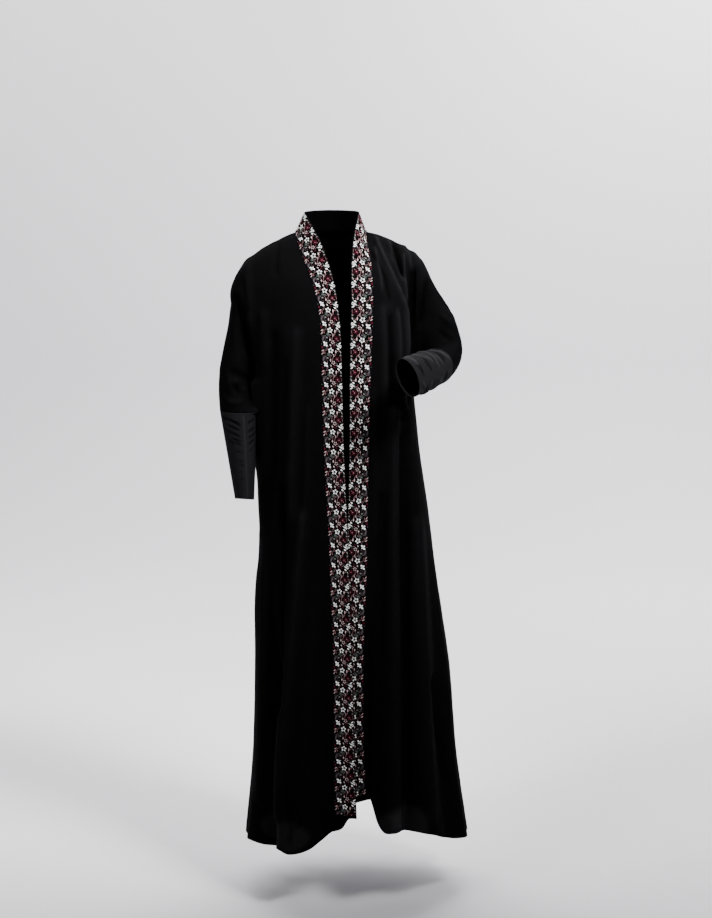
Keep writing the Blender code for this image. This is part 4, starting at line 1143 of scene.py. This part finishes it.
END_MARGIN = 0.003      # length left bare at a band's ends

STITCH = 0.0030         # length of a stitch of the hems
STITCH_GAP = 0.0012     # space between two stitches
STITCH_WIDTH = 0.0005
STITCH_HEIGHT = 0.00025
EDGE_STITCH = 0.6       # fine columns from a band's edge to its stitches
CUFF_STITCH = 1.5       # fine rows from a cuff's wrist to its stitches


class Surface:
    """The outside of a laid cloth in rows and columns, for placing things on it."""

    def __init__(self, points, normals):
        self.points = np.nan_to_num(points)
        self.normals = np.nan_to_num(normals)

    def at(self, rows, columns, heights):
        """Return the points that lie at fractional rows and columns, at a height over the cloth."""
        low_row = np.clip(rows.astype(int), 0, len(self.points) - 2)
        low_column = np.clip(columns.astype(int), 0, self.points.shape[1] - 2)
        down, across = (rows - low_row)[:, None], (columns - low_column)[:, None]

        def blend(field):
            upper = mix(field[low_row, low_column], field[low_row, low_column + 1], across)
            lower = mix(field[low_row + 1, low_column], field[low_row + 1, low_column + 1], across)
            return mix(upper, lower, down)

        return blend(self.points) + blend(self.normals) * heights[:, None]


def grid_faces(rows, columns, start):
    """Return the faces of a grid of points numbered row by row from start."""
    number = start + np.arange(rows * columns).reshape(rows, columns)
    corners = [number[:-1, :-1], number[:-1, 1:], number[1:, 1:], number[1:, :-1]]
    return np.stack(corners, axis=-1).reshape(-1, 4)


class Motif:
    """One repeat of the embroidery, flat: places in millimetres, heights, faces and threads."""

    def __init__(self):
        self.places, self.heights, self.flats, self.faces, self.threads = [], [], [], [], []
        self.count = 0

    def add(self, places, heights, flats, rows, columns, thread):
        """Add a grid of points that is sewn in one thread."""
        self.faces.append(grid_faces(rows, columns, self.count))
        self.threads.append(np.full(len(self.faces[-1]), int(thread)))
        self.places.append(places)
        self.heights.append(heights)
        self.flats.append(flats)
        self.count += len(places)

    def petal(self, thread, x, y, length, width, turn):
        """Add a petal or leaf that starts at x, y and points to its turn."""
        along, side = np.meshgrid(np.linspace(0.0, 1.0, PETAL_ROWS + 1),
                                  np.linspace(-1.0, 1.0, PETAL_COLUMNS + 1), indexing="ij")
        swell = np.sin(math.pi * np.clip(along, *PETAL_ENDS) ** PETAL_LEAN) ** PETAL_FULLNESS
        half = 0.5 * width * swell
        ahead, aside = (along * length).ravel(), (side * half).ravel()
        angle = math.radians(turn)
        places = np.stack([x + ahead * math.cos(angle) - aside * math.sin(angle),
                           y + ahead * math.sin(angle) + aside * math.cos(angle)], axis=-1)
        domed = (1.0 - side ** 2) * mix(PETAL_END_DOME, 1.0, np.sin(math.pi * along)) - SUNK
        self.add(places, domed.ravel() * THREAD_HEIGHT, np.stack([aside, ahead], axis=-1),
                 PETAL_ROWS + 1, PETAL_COLUMNS + 1, thread)

    def stem(self, thread, line, width):
        """Add a stem along a bow through three points."""
        share = np.linspace(0.0, 1.0, STEM_CELLS + 1)[:, None]
        start, middle, end = (np.array(point) for point in line)
        bend = 2.0 * middle - 0.5 * (start + end)
        centre = (1 - share) ** 2 * start + 2 * share * (1 - share) * bend + share ** 2 * end
        ahead = np.gradient(centre, axis=0)
        ahead /= np.linalg.norm(ahead, axis=1, keepdims=True)
        aside = np.stack([-ahead[:, 1], ahead[:, 0]], axis=-1)
        taper = 0.5 * width * mix(STEM_END_WIDTH, 1.0, np.sin(math.pi * share))
        length = np.linalg.norm(end - start) * share[:, 0]
        places = np.stack([centre - aside * taper, centre, centre + aside * taper], axis=1)
        heights = np.tile([-SUNK, STEM_TOP, -SUNK], STEM_CELLS + 1) * THREAD_HEIGHT
        flats = np.stack([np.repeat(length, 3), np.tile([-1.0, 0.0, 1.0], STEM_CELLS + 1) * width],
                         axis=-1)
        self.add(places.reshape(-1, 2), heights, flats, STEM_CELLS + 1, 3, thread)

    def joined(self):
        """Return the places, heights, flat places, faces and threads as arrays, in metres."""
        places, heights, flats, faces, threads = (np.concatenate(part) for part in (
            self.places, self.heights, self.flats, self.faces, self.threads))
        return places * MILLIMETRE, heights, flats * MILLIMETRE, faces, threads


def draw_motif():
    """Return one repeat of the embroidery, drawn from its chart."""
    motif = Motif()
    for thread, x1, y1, x2, y2, x3, y3, width in rows_of(STEMS):
        motif.stem(thread, ((x1, y1), (x2, y2), (x3, y3)), width)
    for thread, x, y, length, width, turn in rows_of(PETALS):
        motif.petal(thread, x, y, length, width, turn)
    for thread, x, y, inner, outer, petals, turn, width in rows_of(FLOWERS):
        for number in range(int(petals)):
            here = turn + 360.0 * number / petals
            ahead = math.radians(here)
            motif.petal(thread, x + inner * math.cos(ahead), y + inner * math.sin(ahead),
                        outer - inner, width, here)
    for thread, x, y, radius in rows_of(KNOTS):
        motif.petal(thread, x - radius, y, 2.0 * radius, 2.0 * radius, 0.0)
    return motif.joined()


def embroider(side, surface, materials):
    """Lay the repeats of the motif along a band: one trim runs up the left and down the right."""
    places, heights, flats, faces, threads = draw_motif()
    middle = surface.points[:, surface.points.shape[1] // 2]
    along = np.concatenate([[0.0], np.cumsum(np.linalg.norm(np.diff(middle, axis=0), axis=1))])
    last = surface.points.shape[1] - 1
    columns = (places[:, 0] + MOTIF_CENTRE) / BAND_WIDTH * last
    columns = np.clip(columns, BAND_MARGIN, last - BAND_MARGIN)
    laid, kept, colours = [], [], []
    for number in range(int(along[-1] / REPEAT) + 2):
        down = MOTIF_START[side.name] + number * REPEAT + side.sign * places[:, 1]
        inside = (down > END_MARGIN) & (down < along[-1] - END_MARGIN)
        rows = np.interp(down, along, np.arange(len(along)))
        whole = inside[faces].all(axis=1)
        kept.append(faces[whole] + number * len(places))
        colours.append(threads[whole])
        laid.append(surface.at(rows, columns, heights))
    faces = np.concatenate(kept)
    piece = add_mesh("embroidery_" + side.name, np.concatenate(laid), faces.tolist(), materials)
    piece.data.polygons.foreach_set("material_index", np.concatenate(colours).astype(np.int32))
    add_flat_map(piece.data, np.tile(flats, (len(laid), 1)))
    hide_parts("band_" + side.name)
    return piece


def sew(name, lines, material, node):
    """Lay stitches along lines, each a surface with the rows and columns of the line's points."""
    places, faces = [], []
    for surface, rows, columns in lines:
        line = surface.at(rows, columns, np.zeros(len(rows)))
        along = np.concatenate([[0.0], np.cumsum(np.linalg.norm(np.diff(line, axis=0), axis=1))])
        starts = np.arange(STITCH_GAP, along[-1] - STITCH, STITCH + STITCH_GAP)
        shares = np.linspace(0.0, 1.0, 3)
        at = (starts[:, None] + shares * STITCH).ravel()
        here_rows, here_columns = np.interp(at, along, rows), np.interp(at, along, columns)
        low = surface.at(here_rows, here_columns, np.zeros(len(at))).reshape(-1, 3, 3)
        high = surface.at(here_rows, here_columns, np.full(len(at), STITCH_HEIGHT)).reshape(-1, 3, 3)
        ahead = low[:, 2] - low[:, 0]
        aside = np.cross(ahead, high[:, 1] - low[:, 1])
        aside /= np.linalg.norm(aside, axis=1, keepdims=True)
        aside = aside[:, None] * STITCH_WIDTH / 2
        top = np.stack([low[:, 0], high[:, 1], low[:, 2]], axis=1)
        stitches = np.stack([low - aside, top, low + aside], axis=2).reshape(-1, 3)
        start = sum(len(group) for group in places)
        for number in range(len(starts)):
            faces.append(grid_faces(3, 3, start + 9 * number))
        places.append(stitches)
    piece = add_mesh(name, np.concatenate(places), np.concatenate(faces).tolist(), [material])
    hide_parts(node)
    return piece


# ---------------------------------------------------------------------------------------
# Materials

# Finishes: thread is the size of the pattern and bump its depth, in metres, shade is how far
# the colour goes up and down, and the last key lets the painted shade and highlight of the
# folds move it too: the crepe's and the jersey's wide shade is mostly that painted light and shade
CREPE = dict(colour=(0.0032, 0.0032, 0.0036), roughness=0.85, thread=0.0005, bump=0.00006,
             shade=0.95, specular=0.012, paints_fold_shade=True)
JERSEY = dict(colour=(0.0085, 0.0085, 0.0094), roughness=0.80, thread=0.0009, bump=0.00015,
              shade=0.90, specular=0.02, paints_fold_shade=True)
BAND_GROUND = dict(colour=(0.0012, 0.0011, 0.0012), roughness=0.75, thread=0.0007,
                   bump=0.00010, shade=0.40, specular=0.01)
BLACK_THREAD = dict(colour=(0.0034, 0.0034, 0.0038), roughness=0.60, thread=0.00015,
                    bump=0.00004, shade=0.30, specular=0.03)
THREAD_FINISH = dict(roughness=0.60, thread=0.00035, bump=0.00010, shade=0.35, specular=0.03)
PAINTED_BACKLIGHT_COLOUR = (0.0290, 0.0283, 0.0298)    # painted light on the crepe near the hem, where light comes through it

UNEVENNESS = (          # scale for each metre, its own share and the pattern's share
    (1900.0, 0.6, 0.7),     # grain of the threads, in the height
    (22.0, 0.7, 0.3),       # soft clouds, in the shade
)
NOISE_DETAIL = 3.0
KNIT_SLANT = 0.9        # how far the loops of the knitted cloth slant
PATTERN_TONE = 0.16     # how much the pattern's shade adds to the painted fold shade of the crepe and jersey
ROUGHNESS_RANGE = 0.12  # how much it changes the roughness
BUMP_STRENGTH = 0.8


def add_node(tree, kind, settings=(), inputs=()):
    """Add a node with its settings and inputs, which are values or other nodes' outputs."""
    made = tree.nodes.new("ShaderNode" + kind)
    for key, value in dict(settings).items():
        setattr(made, key, value)
    for key, value in dict(inputs).items():
        if isinstance(value, bpy.types.NodeSocket):
            tree.links.new(value, made.inputs[key])
        else:
            made.inputs[key].default_value = value
    return made


def work_out(tree, operation, *values):
    """Add a piece of arithmetic and return its result."""
    return add_node(tree, "Math", {"operation": operation}, enumerate(values)).outputs[0]


def pattern_group(name, pattern):
    """Make a node group that gives a cloth pattern's height and shade for a thread's size."""
    tree = bpy.data.node_groups.new(name, "ShaderNodeTree")
    size = tree.interface.new_socket("Thread", in_out="INPUT", socket_type="NodeSocketFloat")
    size.default_value = CREPE["thread"]
    for label in ("Height", "Shade"):
        tree.interface.new_socket(label, in_out="OUTPUT", socket_type="NodeSocketFloat")
    given, made = tree.nodes.new("NodeGroupInput"), tree.nodes.new("NodeGroupOutput")
    flat = add_node(tree, "UVMap", {"uv_map": "flat_cut"}).outputs[0]
    apart = add_node(tree, "SeparateXYZ", inputs={0: flat})
    turns = [work_out(tree, "DIVIDE", apart.outputs[axis], given.outputs[0]) for axis in (0, 1)]
    height = pattern(tree, *turns)
    for output, (scale, own_share, pattern_share) in enumerate(UNEVENNESS):
        uneven = add_node(tree, "TexNoise", {"noise_dimensions": "3D"},
                          {"Vector": flat, "Scale": scale, "Detail": NOISE_DETAIL}).outputs[0]
        of_pattern = work_out(tree, "MULTIPLY", height, pattern_share)
        mixed = work_out(tree, "MULTIPLY_ADD", uneven, own_share, of_pattern)
        tree.links.new(mixed, made.inputs[output])
    return tree


def wave(tree, turns):
    """Return a wave that passes through 0 at every whole turn."""
    return work_out(tree, "SINE", work_out(tree, "MULTIPLY", turns, math.pi))


def woven(tree, across, along):
    """Threads that pass over and under each other."""
    crossed = work_out(tree, "MULTIPLY", wave(tree, across), wave(tree, along))
    return work_out(tree, "MULTIPLY_ADD", crossed, 0.5, 0.5)


def knitted(tree, across, along):
    """Columns of small slanting loops."""
    column = work_out(tree, "PINGPONG", across, 1.0)
    slant = work_out(tree, "MULTIPLY_ADD", column, KNIT_SLANT, along)
    loop = work_out(tree, "ABSOLUTE", wave(tree, slant))
    edge = work_out(tree, "ABSOLUTE", wave(tree, column))
    return work_out(tree, "MULTIPLY", loop, work_out(tree, "SQRT", edge))


def satin(tree, across, _):
    """Threads that lie side by side."""
    return work_out(tree, "ABSOLUTE", wave(tree, across))


def mix_colours(tree, share, low, high):
    """Add a mix of two colours and return it."""
    settings, inputs = {"data_type": "RGBA"}, {0: share, 6: low, 7: high}
    return add_node(tree, "Mix", settings, inputs).outputs[2]


def stored(tree, name):
    """Return a value that is stored at the points of a mesh."""
    return add_node(tree, "Attribute", {"attribute_name": name}).outputs["Fac"]


def cloth_material(name, pattern, colour, roughness, thread, bump, shade, specular,
                   paints_fold_shade=False, thin=False):
    """Make a cloth's material from its pattern group and its finish."""
    material = bpy.data.materials.new(name)
    material.use_nodes = True
    tree = material.node_tree
    shader = tree.nodes["Principled BSDF"]
    group = tree.nodes.new("ShaderNodeGroup")
    group.node_tree = pattern
    group.inputs[0].default_value = thread
    height, tone = group.outputs
    light = (*(min(value * (1.0 + shade), 1.0) for value in colour), 1.0)
    dark = (*(value * (1.0 - shade) for value in colour), 1.0)
    share = tone
    # painted shade and highlight: the folds' stored tone darkens the colour in troughs and lightens it
    # on ridges
    if paints_fold_shade:
        fold = work_out(tree, "SUBTRACT", stored(tree, "tone"), PATTERN_TONE / 2)
        share = work_out(tree, "MULTIPLY_ADD", tone, PATTERN_TONE, fold)
    blend = mix_colours(tree, share, dark, light)
    # painted light: near the hem the crepe's colour is lightened where light would come through it
    if thin:
        backlit_colour = mix_colours(tree, share, (*colour, 1.0), (*PAINTED_BACKLIGHT_COLOUR, 1.0))
        blend = mix_colours(tree, stored(tree, "thin"), blend, backlit_colour)
    tree.links.new(blend, shader.inputs["Base Color"])
    rough = work_out(tree, "MULTIPLY_ADD", tone, ROUGHNESS_RANGE, roughness - ROUGHNESS_RANGE / 2)
    tree.links.new(rough, shader.inputs["Roughness"])
    shader.inputs["Specular IOR Level"].default_value = specular
    relief = add_node(tree, "Bump",
                      inputs={"Strength": BUMP_STRENGTH, "Distance": bump, "Height": height})
    tree.links.new(relief.outputs[0], shader.inputs["Normal"])
    return material


# ---------------------------------------------------------------------------------------
# Garment


def grid_filled(cloth, values):
    """Return values of a cloth's points as an array in rows and columns."""
    grid = np.full((*cloth.filled.shape, 3), np.nan)
    grid[cloth.filled] = values
    return grid


def band_field(side, front, back):
    """Return a band's rows of points, from the nape down, out of those of the front and the back."""
    across = TRIM_CELLS * STEPS + 1
    middle, nape = (CUFF + NECK_CELLS) * STEPS, NECK_CELLS * STEPS
    behind = back[:across, middle + side.sign * np.arange(nape)].transpose(1, 0, 2)
    return np.concatenate([behind, front[:(UPPER_ROWS + LOWER_ROWS - 1) * STEPS + 1, :across]])


def painted_backlight_share(points):
    """Return how much painted light each point gets near the hem, for light coming through the cloth.
    """
    return place_share(PAINTED_BACKLIGHT_PLACES, points[:, 0], points[:, 2]) * (points[:, 1] < 0.0)


def make_materials():
    """Make the materials of the cloths and threads, the cloths by their slots."""
    groups = {name: pattern_group(name, pattern) for name, pattern in
              (("woven_cloth", woven), ("knitted_cloth", knitted), ("satin_stitch", satin))}
    return {
        # the crepe gets painted light near its hem
        "black_crepe": cloth_material("crepe", groups["woven_cloth"], thin=True, **CREPE),
        "charcoal_jersey": cloth_material("jersey", groups["knitted_cloth"], **JERSEY),
        "band_ground": cloth_material("band_ground", groups["woven_cloth"], **BAND_GROUND),
        "black_thread": cloth_material("black_thread", groups["satin_stitch"], **BLACK_THREAD),
        "embroidery": [
            cloth_material(name, groups["satin_stitch"], THREAD_COLOURS[name], **THREAD_FINISH)
            for name in THREADS],
    }


def lay_cloths():
    """Return the back, fronts and cuffs as creased cloths."""
    back = fine_grid(back_sheet())
    cloths = {"back": Cloth(back)}
    for side in SIDES:
        front = fine_grid(front_sheet(side))
        join_seams(side, front, back)
        cloths["front_" + side.name] = Cloth(front, flip=side is LEFT)
        cloths["cuff_" + side.name] = Cloth(fine_cuff(side, front, back), flip=side is RIGHT)
    crease_cloth(cloths)
    normals = normals_of(cloths)
    for side in SIDES:
        cuff = "cuff_" + side.name
        wrinkle_cuff(side, cloths[cuff], normals[cuff])
    return cloths


def make_panel(name, cloth, normals, field, materials):
    """Make the back, a front or a cuff with its stitches."""
    half = np.full(cloth.filled.shape, CLOTH / 2)
    slot = "charcoal_jersey" if name.startswith("cuff") else "black_crepe"
    if slot == "black_crepe":
        half[-STEPS:] = HEM_CLOTH / 2
    half = half[cloth.filled]
    piece = shell(name + "_cloth", cloth, normals, -half, half, materials[slot])
    # painted light near the hem, for light coming through the crepe
    add_value(piece.data, "thin", np.tile(painted_backlight_share(cloth.points), 2))
    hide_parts(name)
    points, outward = field
    outside = Surface(points + outward * CLOTH / 2, outward)
    stitches = sew("stitches_" + name, hem_lines(name, outside), materials["black_thread"],
                   name)


def make_band(side, fields, materials):
    """Make a trim band with its embroidery and stitches, on the points of the cloth under it."""
    name = "band_" + side.name
    points, outward = (band_field(side, front, back)
                       for front, back in zip(fields["front_" + side.name], fields["back"]))
    band = Cloth(points, flip=side is LEFT)
    low = CLOTH / 2 + BAND_SPACE
    high = low + BAND_CLOTH
    piece = shell(name + "_ground", band, outward[band.filled], low, high,
                  materials["band_ground"])
    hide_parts(name)
    outside = Surface(points + outward * high, outward)
    sewn = [
        embroider(side, outside, materials["embroidery"]),
        sew("stitches_" + name, hem_lines(name, outside), materials["black_thread"],
            name),
    ]


def make_garment():
    """Make every piece of the cloak."""
    materials = make_materials()
    cloths = lay_cloths()
    normals = normals_of(cloths)
    fields = {name: (grid_filled(cloth, cloth.points), grid_filled(cloth, normals[name]))
              for name, cloth in cloths.items()}
    for name, cloth in cloths.items():
        make_panel(name, cloth, normals[name], fields[name], materials)
    for side in SIDES:
        make_band(side, fields, materials)


def hem_lines(name, surface):
    """Return the lines along which a piece is stitched."""
    rows, columns = surface.points.shape[:2]
    every_column, every_row = np.arange(columns, dtype=float), np.arange(rows, dtype=float)
    if name.startswith("band"):
        places = (EDGE_STITCH, columns - 1.0 - EDGE_STITCH)
        return [(surface, every_row, np.full(rows, place)) for place in places]
    if name.startswith("cuff"):
        return [(surface, np.full(columns, rows - 1.0 - CUFF_STITCH), every_column)]
    if name == "back":
        sleeve = (CUFF - SIDE) * STEPS
        skirt = every_column[(every_column >= sleeve) & (every_column <= columns - 1 - sleeve)]
    else:
        skirt = every_column[every_column <= (TRIM_CELLS + SIDE) * STEPS]
    return [(surface, np.full(len(skirt), rows - 1.0 - STEPS), skirt)]


# ---------------------------------------------------------------------------------------
# Studio

FLOOR = -1.53
BACKDROP_FRONT = -5.0   # where the floor starts, behind the camera
BACKDROP_BACK = 3.3     # where the floor starts to curve up
BACKDROP_CURVE = 0.9    # radius of that curve
CURVE_CELLS = 16
BACKDROP_TOP = 4.0
BACKDROP_HALF = 12.0    # half width
PAPER_COLOUR = (0.90, 0.89, 0.92, 1.0)
PAPER_ROUGHNESS = 0.9
ROOM_COLOUR = (0.80, 0.79, 0.84, 1.0)
ROOM_STRENGTH = 0.24
CAMERA_PLACE = (0.055, -3.88, 0.039)
CAMERA_TILT = 82.0      # degrees up from straight down
CAMERA_LENS, CAMERA_SENSOR = 66.6, 36.0     # millimetres
LIGHTS = (              # name, place, the point it shines at, side of its square, spread and watts
    ("key_light", (1.30, -1.40, 1.50), (0.05, 0.0, -0.10), 0.8, 42.0, 15.0),
    ("fill_light", (-1.40, -1.50, 1.30), (0.05, 0.0, -0.12), 0.9, 42.0, 6.0),
    ("top_light", (0.20, 0.20, 1.70), (0.05, 0.0, -0.60), 1.0, 180.0, 6.0),
    ("wall_light_left", (-1.70, 2.45, 2.40), (-0.90, 4.1, -0.50), 2.0, 180.0, 90.0),
    ("wall_light_right", (2.10, 2.45, 2.50), (2.30, 4.1, 1.20), 2.0, 180.0, 232.0),
    ("floor_light", (0.25, 1.10, 1.90), (0.25, 0.9, -1.50), 2.4, 180.0, 100.0),
)


def make_backdrop():
    """Make the paper floor that curves up into a wall."""
    turns = np.linspace(0.0, math.pi / 2, CURVE_CELLS + 1)
    profile = [(BACKDROP_FRONT, FLOOR)]
    profile += [(BACKDROP_BACK + BACKDROP_CURVE * math.sin(turn),
                 FLOOR + BACKDROP_CURVE * (1.0 - math.cos(turn))) for turn in turns]
    profile.append((BACKDROP_BACK + BACKDROP_CURVE, BACKDROP_TOP))
    places = [(x, y, z) for y, z in profile for x in (-BACKDROP_HALF, BACKDROP_HALF)]
    mesh = bpy.data.meshes.new("backdrop")
    mesh.from_pydata(places, [], grid_faces(len(profile), 2, 0).tolist())
    mesh.shade_smooth()
    backdrop = add_object("backdrop", mesh)
    material = bpy.data.materials.new("backdrop_paper")
    material.use_nodes = True
    shader = material.node_tree.nodes["Principled BSDF"]
    shader.inputs["Base Color"].default_value = PAPER_COLOUR
    shader.inputs["Roughness"].default_value = PAPER_ROUGHNESS
    mesh.materials.append(material)


def make_lights():
    """Make the lamps and the soft light of the room."""
    for name, place, target, size, spread, power in LIGHTS:
        light = bpy.data.lights.new(name, "AREA")
        light.energy = power
        light.size = size
        light.spread = math.radians(spread)
        lamp = add_object(name, light)
        lamp.location = place
        lamp.rotation_euler = (Vector(target) - Vector(place)).to_track_quat("-Z", "Y").to_euler()
    world = bpy.data.worlds.new("studio")
    world.use_nodes = True
    background = world.node_tree.nodes["Background"]
    background.inputs["Color"].default_value = ROOM_COLOUR
    background.inputs["Strength"].default_value = ROOM_STRENGTH
    bpy.context.scene.world = world


def make_camera():
    """Make the camera, which looks a little down on the front."""
    lens = bpy.data.cameras.new("camera")
    lens.lens = CAMERA_LENS
    lens.sensor_width = CAMERA_SENSOR
    camera = add_object("camera", lens)
    camera.location = CAMERA_PLACE
    camera.rotation_euler = (math.radians(CAMERA_TILT), 0.0, 0.0)
    bpy.context.scene.camera = camera


make_garment()
make_backdrop()
make_lights()
make_camera()
